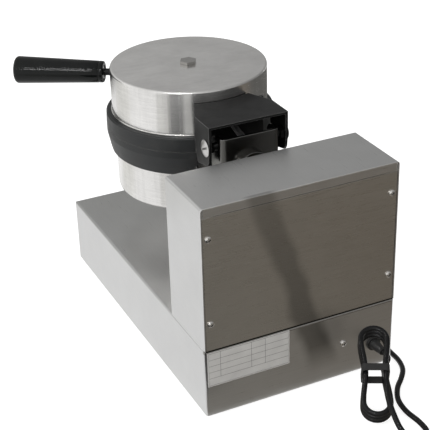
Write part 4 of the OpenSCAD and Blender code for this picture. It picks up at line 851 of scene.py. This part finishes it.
def capped_tube(rings: np.ndarray) -> Shell:
    """Closes a stack of rings with a fan to the middle of each end ring.

    Args:
        rings: Points of shape (rings, sides, 3).

    Returns:
        The points and the faces.
    """
    count, sides, _ = rings.shape
    points = np.concatenate([rings.reshape(-1, 3), rings[:1].mean(1), rings[-1:].mean(1)])
    k = np.arange(sides)
    top = (count - 1) * sides
    first = np.stack([np.full(sides, count * sides), (k + 1) % sides, k], axis=1)
    last = np.stack([np.full(sides, count * sides + 1), top + k, top + (k + 1) % sides], axis=1)
    return points, grid_faces(count, sides).tolist() + first.tolist() + last.tolist()


def swept(path: np.ndarray, radius: float, sides: int) -> Shell:
    """A round tube along a path.

    The ring at each point is the point plus radius times (cos a across + sin a side), where
    across is carried along the path without twisting, and side is the cross product of the
    path's direction and across.

    Args:
        path: Points along the middle line, one row each.
        radius: The tube's radius.
        sides: Points round the tube.

    Returns:
        The points and the faces of the closed tube.
    """
    ahead = np.gradient(path, axis=0)
    ahead /= np.linalg.norm(ahead, axis=1)[:, None]
    across = np.empty_like(path)
    start = np.array([0.0, 0.0, 1.0] if abs(ahead[0, 2]) < 0.8 else [1.0, 0.0, 0.0])
    for i, t in enumerate(ahead):
        start = start - start.dot(t) * t
        start /= np.linalg.norm(start)
        across[i] = start
    side = np.cross(ahead, across)
    a = np.linspace(0.0, 2.0 * np.pi, sides, endpoint=False)[None, :, None]
    return capped_tube(path[:, None] + radius * (np.cos(a) * across[:, None]
                                                 + np.sin(a) * side[:, None]))


def smooth_route(points: np.ndarray, steps: int) -> np.ndarray:
    """A Catmull-Rom curve through points, with steps points on each span.

    On each span, with t from 0 to 1, the curve is half of 2b + (c - a) t
    + (2a - 5b + 4c - d) t^2 + (3b - a - 3c + d) t^3, where a, b, c and d are the four points
    round the span.
    """
    padded = np.concatenate([points[:1], points, points[-1:]])
    a, b, c, d = (padded[k: len(points) - 1 + k, None] for k in range(4))
    t = (np.arange(steps) / steps)[None, :, None]
    curve = 0.5 * (2 * b + (c - a) * t + (2 * a - 5 * b + 4 * c - d) * t ** 2
                   + (3 * b - a - 3 * c + d) * t ** 3)
    return np.concatenate([curve.reshape(-1, 3), points[-1:]])


# Sub-assemblies


@dataclass
class MainsLead:
    """The mains lead: out of its boot, round the tied hank, along the table to its plug.

    Sizes are in millimetres, as in the CAD part, whose route this repeats. In the hank's own
    frame x goes across it, y down it and z up its layers.
    """

    diameter: float = 6.5
    boot: Triple = (-98.0, 235.0, 40.5)
    sag: tuple[float, float] = (1.0, -2.0)
    hank_centre: Triple = (-83.7, 235.8, 56.6)
    hank_pitch: float = 24.0
    hank_yaw: float = 28.0
    run: float = 80.0
    fold_radius: float = 15.5
    waist_in: float = 4.0
    loops: int = 3
    layer: float = 7.1
    leaves_at: float = 75.0
    plug_x: float = -146.0
    plug_y: float = 118.0
    plug_boot_radius: float = 4.5
    plug_rise: float = 16.93
    table_gap: float = 0.1
    run_steps: int = 12
    fold_steps: int = 15
    span_steps: int = 5
    sides: int = 20
    tail: list[Triple] = field(default_factory=lambda: [
        (-54, 330, 24), (-54, 346, 15), (-62, 357, 7.5), (-76, 358, 3.35), (-87, 347, 3.35),
        (-89, 328, 3.35), (-87, 305, 3.35), (-91, 282, 3.35), (-103, 262, 3.35),
        (-118, 247, 3.35), (-130, 232, 3.35), (-136, 213, 3.35), (-137, 190, 3.35),
        (-141, 165, 3.35)])

    def from_hank(self, points: np.ndarray | list) -> np.ndarray:
        """Turns points of the hank's own frame into the object's directions, in millimetres."""
        p, w = math.radians(self.hank_pitch), math.radians(self.hank_yaw)
        x, y, z = np.atleast_2d(points).T
        along = y * math.cos(p) + z * math.sin(p)
        up = z * math.cos(p) - y * math.sin(p)
        return np.array(self.hank_centre) + np.stack([
            x * math.cos(w) + along * math.sin(w), along * math.cos(w) - x * math.sin(w), up],
            axis=1)

    def run_x(self, y: np.ndarray) -> np.ndarray:
        """Half the width between the two runs at a place down the hank, less at its waist."""
        return self.fold_radius - self.waist_in * (1.0 - np.cos(2.0 * np.pi * y / self.run)) / 2.0

    def loop(self, k: int, start: float) -> np.ndarray:
        """One loop: down the -X run, round the foot, up the +X run to the next layer, over the top.

        Args:
            k: The loop's number, from 0.
            start: How far down the -X run it starts.

        Returns:
            Its points in the hank's frame.
        """
        low = -self.loops / 2 * self.layer + k * self.layer
        share = (np.arange(self.run_steps) + 0.5) / self.run_steps
        turn = np.radians(np.linspace(0.0, 180.0, self.fold_steps))
        down = start + (self.run - start) * share
        up = self.run * (1.0 - share)
        climb = low + share ** 2 * (3.0 - 2.0 * share) * self.layer
        side, dip = self.fold_radius * np.cos(turn), self.fold_radius * np.sin(turn)
        legs = ((-self.run_x(down), down, low), (-side, self.run + dip, low),
                (self.run_x(up), up, climb), (side, -dip, low + self.layer))
        return np.concatenate([np.stack(np.broadcast_arrays(*leg), axis=1) for leg in legs])

    def path(self) -> np.ndarray:
        """The lead's middle line from its boot to its plug, in metres."""
        mid, d = self.run / 2.0, self.diameter
        waist, top = self.fold_radius - self.waist_in, self.loops / 2 * self.layer
        boot = np.array(self.boot)
        aside, down = self.sag
        lead_in = np.concatenate([
            [boot, boot + (0, d / 2, 0), boot + (0, d, 0), boot + (aside, 2 * d, down)],
            self.from_hank([[-waist, mid - back * d, -top] for back in (2, 1, 0)])])
        last = np.linspace(0.0, mid - d, 7)[1:-1]
        hank = np.concatenate([
            [[-waist, mid, -top], [-waist, mid + d, -top]],
            *(self.loop(k, 0.0 if k else mid + d) for k in range(self.loops)),
            np.stack([-self.run_x(last), last, np.full(len(last), top)], axis=1),
            [[-waist, mid - d, top], [-waist, mid, top]]])
        rise = math.radians(self.plug_rise)
        back = np.array([0.0, math.cos(rise), -math.sin(rise)])
        plug = np.array([self.plug_x, self.plug_y,
                         self.plug_boot_radius * math.cos(rise) + self.table_gap])
        table = d / 2 + self.table_gap
        tail = np.concatenate([
            self.from_hank([[-waist, y, top] for y in (mid, mid + d, self.leaves_at)]), self.tail,
            [(self.plug_x, self.plug_y + far * d, table) for far in (3.0, 1.5)],
            [plug + d / 2 * back, plug + d / 4 * back, plug]])
        route = np.concatenate([smooth_route(lead_in, self.span_steps)[:-1],
                                self.from_hank(hank)[:-1], smooth_route(tail, self.span_steps)])
        route[:, 2] = np.maximum(route[:, 2], table)
        return route * MM + np.array([FRAME_X, FRAME_Y, 0.0])

    def build(self, palette: Palette) -> list[Piece]:
        path = self.path()
        sheath = mesh_piece("mains_lead_sheath", *swept(path, self.diameter / 2 * MM, self.sides))
        palette.dress(sheath, CORD_RUBBER)
        sheath.visible_glossy = False
        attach(sheath, "stand")
        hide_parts("power_cord", "cord_hank", "cord_tail")
        return [sheath]


@dataclass
class HandleGrip:
    """The lid's bakelite grip, moulded in two halves, with a ring groove at its neck.

    Sizes are in millimetres and turns in degrees, as in the CAD part.
    """

    turn: float = 56.5
    start: float = 109.8
    length: float = 117.0
    near_radius: float = 13.85
    far_radius: float = 17.6
    chamfer: float = 1.5
    far_round: float = 5.0
    bulge: float = 1.2
    bore_radius: float = 4.4
    bore_depth: float = 6.0
    bore_chamfer: tuple[float, float] = (0.8, 0.6)
    groove_at: float = 6.0
    groove_deep: float = 0.7
    groove_places: tuple[float, ...] = (-0.9, -0.5, -0.2, 0.2, 0.5, 0.9)
    groove_shares: tuple[float, ...] = (0.0, 0.25, 1.0, 1.0, 0.25, 0.0)
    taper_places: tuple[float, ...] = (30.0, 60.0, 90.0)
    ridge: float = 0.16
    ridge_wide: float = 0.04
    ridge_turns: tuple[float, ...] = (33.0, 213.0)
    sides: int = 144

    def profile(self) -> np.ndarray:
        """Radius and height, from the bore's floor over the neck and the taper to the dome."""
        wide, deep = self.bore_chamfer
        neck = [(self.bore_radius, self.bore_depth), (self.bore_radius, deep),
                (self.bore_radius + wide, 0.0), (self.near_radius - self.chamfer, 0.0),
                (self.near_radius - 0.4, 0.35 * self.chamfer), (self.near_radius, self.chamfer)]
        far = self.length - self.far_round
        at = np.concatenate([self.groove_at + np.array(self.groove_places), self.taper_places,
                             [far]])
        sunk = np.zeros(len(at))
        sunk[:len(self.groove_shares)] = np.array(self.groove_shares) * self.groove_deep
        radii = self.near_radius + (self.far_radius - self.near_radius) * at / far - sunk
        turn = np.radians(np.linspace(7.5, 90.0, 12))
        round_off = np.stack([self.far_radius - self.far_round * (1.0 - np.cos(turn)),
                              far + self.far_round * np.sin(turn)], axis=1)
        flat = self.far_radius - self.far_round
        rest = np.linspace(flat, 0.4, 8)[1:]
        dome = np.stack([rest, self.length + self.bulge * (1.0 - (rest / flat) ** 2)], axis=1)
        return np.concatenate([neck, np.stack([radii, at], axis=1), round_off, dome])

    def build(self, palette: Palette) -> list[Piece]:
        """Makes the grip.

        Point (r, h) of the profile at angle a is origin + h axis + (r + rise) (cos a rear
        + sin a up). On the outer skin, rise is a bell curve of a round each parting line.
        """
        low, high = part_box("handle_grip")
        turn = math.radians(self.turn)
        axis = np.array([math.sin(turn), -math.cos(turn), 0.0])
        origin = np.array([*DRUM_AXIS[:2], (low[2] + high[2]) / 2]) + axis * self.start * MM
        profile = self.profile()
        a = np.linspace(0.0, 2.0 * np.pi, self.sides, endpoint=False)
        rise = np.zeros(self.sides)
        for place in self.ridge_turns:
            off = (a - math.radians(place) + np.pi) % (2.0 * np.pi) - np.pi
            rise += self.ridge * np.exp(-(off / self.ridge_wide) ** 2)
        skin = profile[:, :1] > self.near_radius * 0.95
        reach = (profile[:, :1] + rise[None, :] * skin) * MM
        rear = np.array([-axis[1], axis[0], 0.0]) * np.sign(axis[0])
        ring = np.cos(a)[:, None] * rear + np.sin(a)[:, None] * np.cross(axis, rear)
        grip = mesh_piece("lid_handle_grip", *capped_tube(
            origin + (profile[:, 1] * MM)[:, None, None] * axis + reach[:, :, None] * ring))
        palette.dress(grip, BAKELITE)
        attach(grip, "lid")
        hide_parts("handle_grip")
        return [grip]


@dataclass
class ControlMarks:
    """Plain scales round the two knobs and the switch's on and off marks, as raised print.

    Sizes are in millimetres and turns in degrees. Both scales start where the pointers rest.
    """

    thick: float = 0.12
    inner: float = 24.5
    outer: float = 27.5
    stroke_half: float = 0.3
    number_at: float = 32.5
    number_size: float = 5.2
    heat_reach: float = 270.0
    heat_numbers: tuple[str, ...] = ("0", "60", "120", "180", "240", "300")
    time_reach: float = 300.0
    time_numbers: tuple[str, ...] = ("0", "1", "2", "3", "4", "5")
    ticks: int = 11
    switch_gap: float = 6.5
    bar_half: tuple[float, float] = (0.35, 1.8)
    ring_radii: tuple[float, float] = (1.3, 2.0)
    ring_sides: int = 32
    front: float = FRONT_Y - 0.02

    def raised(self, outline: np.ndarray) -> Shell:
        """A plate with that outline of x and z, proud of the front by the mark's thickness."""
        count = len(outline)
        back = np.stack([outline[:, 0], np.full(count, self.front), outline[:, 1]], axis=1)
        face = back - np.array([0.0, self.thick, 0.0])
        k = np.arange(count)
        after = (k + 1) % count
        sides = np.stack([k, k + count, after + count, after], axis=1).tolist()
        return np.concatenate([back, face]), [k.tolist(), (k[::-1] + count).tolist(), *sides]

    def tick(self, x: float, turn: float) -> Shell:
        """A radial stroke at a turn, clockwise from straight up as the user sees it."""
        t = math.radians(turn)
        out = np.array([math.sin(t), math.cos(t)])
        across = np.array([math.cos(t), -math.sin(t)]) * self.stroke_half
        corners = np.array([out * self.inner - across, out * self.outer - across,
                            out * self.outer + across, out * self.inner + across])
        return self.raised(corners + np.array([x, CONTROL_Z]))

    def number(self, text: str, x: float, z: float) -> Shell:
        """A number as a thin solid, centred at x and z on the front."""
        curve = bpy.data.curves.new("number " + text, "FONT")
        curve.body, curve.size = text, self.number_size
        curve.align_x, curve.align_y = "CENTER", "CENTER"
        curve.extrude, curve.resolution_u = self.thick / 2, 3
        holder = linked("number " + text, curve)
        mesh = bpy.data.meshes.new_from_object(holder)
        flat = np.empty(len(mesh.vertices) * 3)
        mesh.vertices.foreach_get("co", flat)
        flat = flat.reshape(-1, 3)
        rows = [list(face.vertices) for face in mesh.polygons]
        bpy.data.objects.remove(holder)
        bpy.data.meshes.remove(mesh)
        bpy.data.curves.remove(curve)
        deep = self.front - self.thick / 2 - flat[:, 2]
        return np.stack([flat[:, 0] + x, deep, flat[:, 1] + z], axis=1), rows

    def scale(self, side: int, reach: float, numbers: tuple[str, ...]) -> list[Shell]:
        """The strokes and numbers round one knob, from its pointer's place at rest to its limit.

        Args:
            side: -1 for the knob toward -X, 1 for the other.
            reach: How far the knob turns, in degrees.
            numbers: The numbers, spread evenly over the reach.

        Returns:
            The plates of the scale.
        """
        x = side * KNOB_X
        parts = [self.tick(x, turn) for turn in np.linspace(0.0, reach, self.ticks)]
        for turn, text in zip(np.linspace(0.0, reach, len(numbers)), numbers):
            t = math.radians(turn)
            parts.append(self.number(text, x + self.number_at * math.sin(t),
                                     CONTROL_Z + self.number_at * math.cos(t)))
        return parts

    def switch(self) -> list[Shell]:
        """The bar above the rocker and the ring below it."""
        low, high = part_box("switch_rocker")
        middle = ((low[0] + high[0]) / 2 - FRAME_X) / MM
        top, bottom = high[2] / MM + self.switch_gap, low[2] / MM - self.switch_gap
        wide, tall = self.bar_half
        bar = np.array([[-wide, -tall], [-wide, tall], [wide, tall], [wide, -tall]])
        inner, outer = self.ring_radii
        a = np.linspace(0.0, 2.0 * np.pi, self.ring_sides, endpoint=False)
        ring = np.stack([np.sin(a), np.cos(a)], axis=1)
        return [self.raised(bar + [middle, top])] + [
            self.raised(np.array([this * inner, this * outer, before * outer, before * inner])
                        + [middle, bottom]) for this, before in zip(ring, np.roll(ring, 1, 0))]

    def placed(self, name: str, parts: list[Shell], palette: Palette) -> Piece:
        """Joins plates into one printed piece with outward faces, riding on the base."""
        points, faces, shift = [], [], 0
        for some, rows in parts:
            points.append(some)
            faces.extend([[index + shift for index in row] for row in rows])
            shift += len(some)
        moved = np.concatenate(points) * MM + np.array([FRAME_X, FRAME_Y, 0.0])
        piece = mesh_piece(name, moved, faces, smooth=False)
        outward(piece)
        palette.dress(piece, PRINT)
        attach(piece, "stand")
        return piece

    def build(self, palette: Palette) -> list[Piece]:
        """Makes the heat scale, the time scale and the switch's two marks."""
        marks = {"heat_scale": self.scale(-1, self.heat_reach, self.heat_numbers),
                 "time_scale": self.scale(1, self.time_reach, self.time_numbers),
                 "switch_marks": self.switch()}
        return [self.placed(name, parts, palette) for name, parts in marks.items()]


@dataclass
class Knobs:
    """The two control knobs, each with white paint in its pointer's groove, which runs up.

    Attributes:
        left: The knob toward -X.
        right: The other one.
        half: Half the groove's width in metres.
        deep: How far behind the knob's face the paint reaches.
    """

    left: str = "thermostat_knob"
    right: str = "timer_knob"
    half: float = 1.02 * MM
    deep: float = 0.75 * MM

    def dress(self, palette: Palette, nodes: dict[str, Piece]) -> None:
        """Gives each knob the plastic finish with its own pointer."""
        for node, side in ((self.left, -1), (self.right, 1)):
            low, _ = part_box(node)
            middle = FRAME_X + side * KNOB_X * MM
            groove = Zone(WHITE_PAINT, x=(middle - self.half, middle + self.half),
                          y=(-math.inf, low[1] + self.deep), z=(CONTROL_Z * MM, math.inf))
            palette.dress(nodes[node], replace(BLACK_PLASTIC, name=node.replace("_", " "),
                                               marks=(groove,)))


@dataclass
class RatingPlate:
    """The plate on the rear, with its table left blank."""

    node: str = "rating_plate"

    def dress(self, palette: Palette, nodes: dict[str, Piece]) -> None:
        """Gives the plate its ruled finish, fitted to the CAD node's box."""
        low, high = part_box(self.node)
        finish = RuledPlate("ruled plate", high[0], low[0], high[2], low[2])
        palette.dress(nodes[self.node], finish)


@dataclass
class HingeBolts:
    """The two bolts of the lid's hinge: polished heads outside, blackened shanks inside.

    Attributes:
        node: The bolts' node.
        head: Height of a head in metres.
    """

    node: str = "hinge_bolts"
    head: float = 3.2 * MM

    def dress(self, palette: Palette, nodes: dict[str, Piece]) -> None:
        """Gives the bolts their two-coloured finish."""
        low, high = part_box(self.node)
        shanks = Zone(SHANK_BLACK, x=(low[0] + self.head, high[0] - self.head))
        palette.dress(nodes[self.node], replace(HINGE_STEEL, marks=(shanks,)))


# Camera, floor and light


def framed(right: np.ndarray, up: np.ndarray, back: np.ndarray, at: np.ndarray) -> Matrix:
    """The matrix of an object that looks away from back, at a place in metres."""
    matrix = np.eye(4)
    matrix[:3] = np.stack([right, up, back, at], axis=1)
    return Matrix(matrix.tolist())


@dataclass(frozen=True)
class Card:
    """A studio card that only polished surfaces show.

    Attributes:
        name: The card's name.
        corners: Its four corners in turn, in millimetres from the base's centre.
        left: Its colour toward +X.
        right: Its colour toward -X.
        fade: X in metres where it has the right colour, and where it has the left one.
    """

    name: str
    corners: list[Triple]
    left: Triple
    right: Triple
    fade: tuple[float, float] = (-0.30, 0.10)

    def build(self) -> None:
        """Makes the card."""
        g = Graph.material(self.name.replace("_", " "))
        share = g.ramp(g.axes()["x"], *self.fade, 1.0, 0.0)
        tint = g.blend(share, colour(*self.left), colour(*self.right))
        g.close(g.shader("ShaderNodeEmission", Color=tint))
        points = np.array([spot(*corner) for corner in self.corners])
        made = mesh_piece(self.name, points, [[0, 1, 2, 3]], smooth=False)
        made.data.materials.append(g.owner)
        made.visible_camera = False
        made.visible_diffuse = False
        made.visible_shadow = False
        made.visible_transmission = False


@dataclass(frozen=True)
class Lamp:
    """A rectangular soft lamp that points at the object.

    Attributes:
        name: The lamp's name.
        at: Its place in metres.
        size: Its width and height in metres.
        watts: Its power.
        mirrored: Whether polished surfaces show it.
        aim: Height on the Z axis that it points at, in metres.
    """

    name: str
    at: Triple
    size: tuple[float, float]
    watts: float
    mirrored: bool = False
    aim: float = 0.15

    def build(self) -> None:
        """Makes the lamp."""
        data = bpy.data.lights.new(self.name, "AREA")
        data.shape = "RECTANGLE"
        data.size, data.size_y = self.size
        data.energy = self.watts
        made = linked(self.name, data)
        made.visible_glossy = self.mirrored
        place = np.array(self.at)
        back = place - np.array([0.0, 0.0, self.aim])
        back /= np.linalg.norm(back)
        right = np.cross([0.0, 0.0, 1.0], back)
        right /= np.linalg.norm(right)
        made.matrix_world = framed(right, np.cross(back, right), back, place)


LAMPS = (
    Lamp("side lamp", (2.2, 0.4, 1.3), (1.6, 1.4), 26.0),
    Lamp("top lamp", (-0.4, -1.2, 2.4), (2.0, 1.2), 22.0),
    Lamp("glint lamp", (1.30, 1.35, 1.22), (0.9, 0.03), 6.0, mirrored=True),
    Lamp("second glint lamp", (0.85, 0.95, 1.90), (0.9, 0.02), 5.0, mirrored=True),
)


@dataclass
class Studio:
    """The camera at the photograph's angle, a pale floor and soft light.

    The camera's numbers come from fitting a pinhole camera to the photograph, 430 pixels wide.
    """

    frame_px: float = 430.0
    focal_px: float = 1236.0
    azimuth: float = 155.18
    elevation: float = 27.83
    roll: float = -1.74
    distance: float = 1.589
    target_mm: Triple = (4.5, -9.0, 138.0)
    sensor_mm: float = 36.0
    clip_end: float = 50.0
    floor_half: float = 6.0
    card_lift_mm: float = 0.5

    def pose(self) -> Matrix:
        """The camera's place and directions."""
        a, e, r = (math.radians(v) for v in (self.azimuth, self.elevation, self.roll))
        back = np.array([math.sin(a) * math.cos(e), -math.cos(a) * math.cos(e), math.sin(e)])
        right = np.array([math.cos(a), math.sin(a), 0.0])
        up = np.cross(back, right)
        return framed(right * math.cos(r) + up * math.sin(r),
                      up * math.cos(r) - right * math.sin(r), back,
                      spot(*self.target_mm) + back * self.distance)

    def camera(self) -> None:
        """Makes the scene's camera."""
        data = bpy.data.cameras.new("camera")
        data.sensor_width = self.sensor_mm
        data.lens = self.focal_px * self.sensor_mm / self.frame_px
        data.clip_end = self.clip_end
        made = linked("camera", data)
        made.matrix_world = self.pose()
        bpy.context.scene.camera = made

    def floor(self) -> None:
        """A wide pale floor: white for the camera and in steel, with the object's shadow."""
        g = Graph.material("studio floor")
        rays = g.node("ShaderNodeLightPath").outputs
        paper = g.shader("ShaderNodeBsdfPrincipled", Base_Color=colour(0.80, 0.80, 0.80),
                         Roughness=g.ramp(g.noise(FLOOR_CLOUD), 0.0, 1.0, 0.85, 0.95))
        thin = g.shader("ShaderNodeBsdfDiffuse", Color=colour(0.42, 0.42, 0.42))
        glow = g.shader("ShaderNodeEmission", Strength=0.80)
        seen = g.fed("ShaderNodeAddShader", thin, glow).outputs[0]
        bent = g.math("MAXIMUM", rays["Is Glossy Ray"], rays["Is Transmission Ray"])
        other = g.mixed(bent, paper, g.shader("ShaderNodeEmission"))
        g.close(g.mixed(rays["Is Camera Ray"], other, seen))
        corners = np.array([[-1, -1, 0], [1, -1, 0], [1, 1, 0], [-1, 1, 0]]) * self.floor_half
        made = mesh_piece("studio_floor", corners, [[0, 1, 2, 3]], smooth=False)
        made.data.materials.append(g.owner)

    def world(self) -> None:
        """White behind the object for the camera, and a soft grey room in reflections."""
        world = bpy.data.worlds.new("studio room")
        bpy.context.scene.world = world
        g = Graph(world)
        toward = g.parts(g.node("ShaderNodeTexCoord").outputs["Generated"])["x"]
        strength = g.every(g.ramp(toward, -0.5, 0.8, 0.36, 1.0),
                           g.ramp(toward, -0.88, -0.58, 0.70, 1.0))
        room = g.shader("ShaderNodeBackground", Color=colour(1.0, 1.0, 0.995), Strength=strength)
        white = g.shader("ShaderNodeBackground", Color=colour(1.0, 1.0, 1.0))
        seen = g.node("ShaderNodeLightPath").outputs["Is Camera Ray"]
        g.close(g.mixed(seen, room, white), "ShaderNodeOutputWorld")

    def level(self, *corners: tuple[float, float]) -> list[Triple]:
        """Corners of a card that lies just over the floor, from their x and y."""
        return [(x, y, self.card_lift_mm) for x, y in corners]

    def wedge(self, low_turn: float, high_turn: float, near: float = 380.0,
              far: float = 1100.0, z: float = 1.0) -> list[Triple]:
        """Floor corners between two turns from +Y toward +X, and two distances from the drum."""
        turns = [math.radians(t) for t in (low_turn, high_turn)]
        return [(d * math.sin(t), d * math.cos(t) + DRUM_Y, z)
                for t, d in ((turns[0], near), (turns[1], near), (turns[1], far), (turns[0], far))]

    def cards(self) -> list[Card]:
        """The dark cards behind and beside the object, and the grey card before it."""
        wedges = (("near_wedge", 12.0, 29.0, 0.06), ("dark_wedge", 29.0, 53.0, 0.012),
                  ("pale_wedge", 53.0, 70.0, 0.66), ("left_wedge", 116.0, 150.0, 0.84))
        rear = self.level((170, 222), (170, 1400), (-1100, 1400), (-1100, 222))
        far_side = self.level((-230, -700), (-5500, -700), (-5500, 220), (-230, 220))
        corner = self.level((-1102, 222), (-5500, 222), (-5500, 3500), (-1102, 3500))
        front = [(-900, -600, 95), (700, -600, 95), (700, -600, 420), (-900, -600, 420)]
        return [Card("rear_card", rear, (0.235, 0.222, 0.20), (0.185, 0.163, 0.137)),
                *(Card(name, self.wedge(low, high), *[(grey, grey, grey * 0.97)] * 2)
                  for name, low, high, grey in wedges),
                Card("far_side_card", far_side, (0.26, 0.26, 0.255), (0.12, 0.118, 0.112)),
                Card("corner_card", corner, *[(0.13, 0.125, 0.12)] * 2),
                Card("front_card", front, *[(0.34, 0.34, 0.33)] * 2)]

    def build(self) -> None:
        """Sets up the camera, the floor, the room, the cards and the lamps."""
        bpy.context.scene.view_settings.view_transform = "Standard"
        self.camera()
        self.floor()
        self.world()
        for part in (*self.cards(), *LAMPS):
            part.build()


def dress_frame(palette: Palette, frame: dict) -> None:
    """Gives every CAD node the finish of its slot, or its own."""
    slots = {s["node"]: s["material_slot"] for s in frame["record"]["subparts"]}
    for name, piece in frame["nodes"].items():
        palette.dress(piece, NODE_FINISHES.get(name, SLOT_FINISHES[slots[name]]))
        LOG.info("dressed %s", name)


def main() -> None:
    """Builds the scene in order."""
    logging.basicConfig(level=logging.INFO, format="%(name)s: %(message)s")
    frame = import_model()
    palette = Palette()
    Studio().build()
    for part in (MainsLead(), HandleGrip(), ControlMarks()):
        for piece in part.build(palette):
            LOG.info("made %s with %d faces", piece.name, len(piece.data.polygons))
    dress_frame(palette, frame)
    for part in (Knobs(), RatingPlate(), HingeBolts()):
        part.dress(palette, frame["nodes"])


if __name__ == "__main__":
    main()
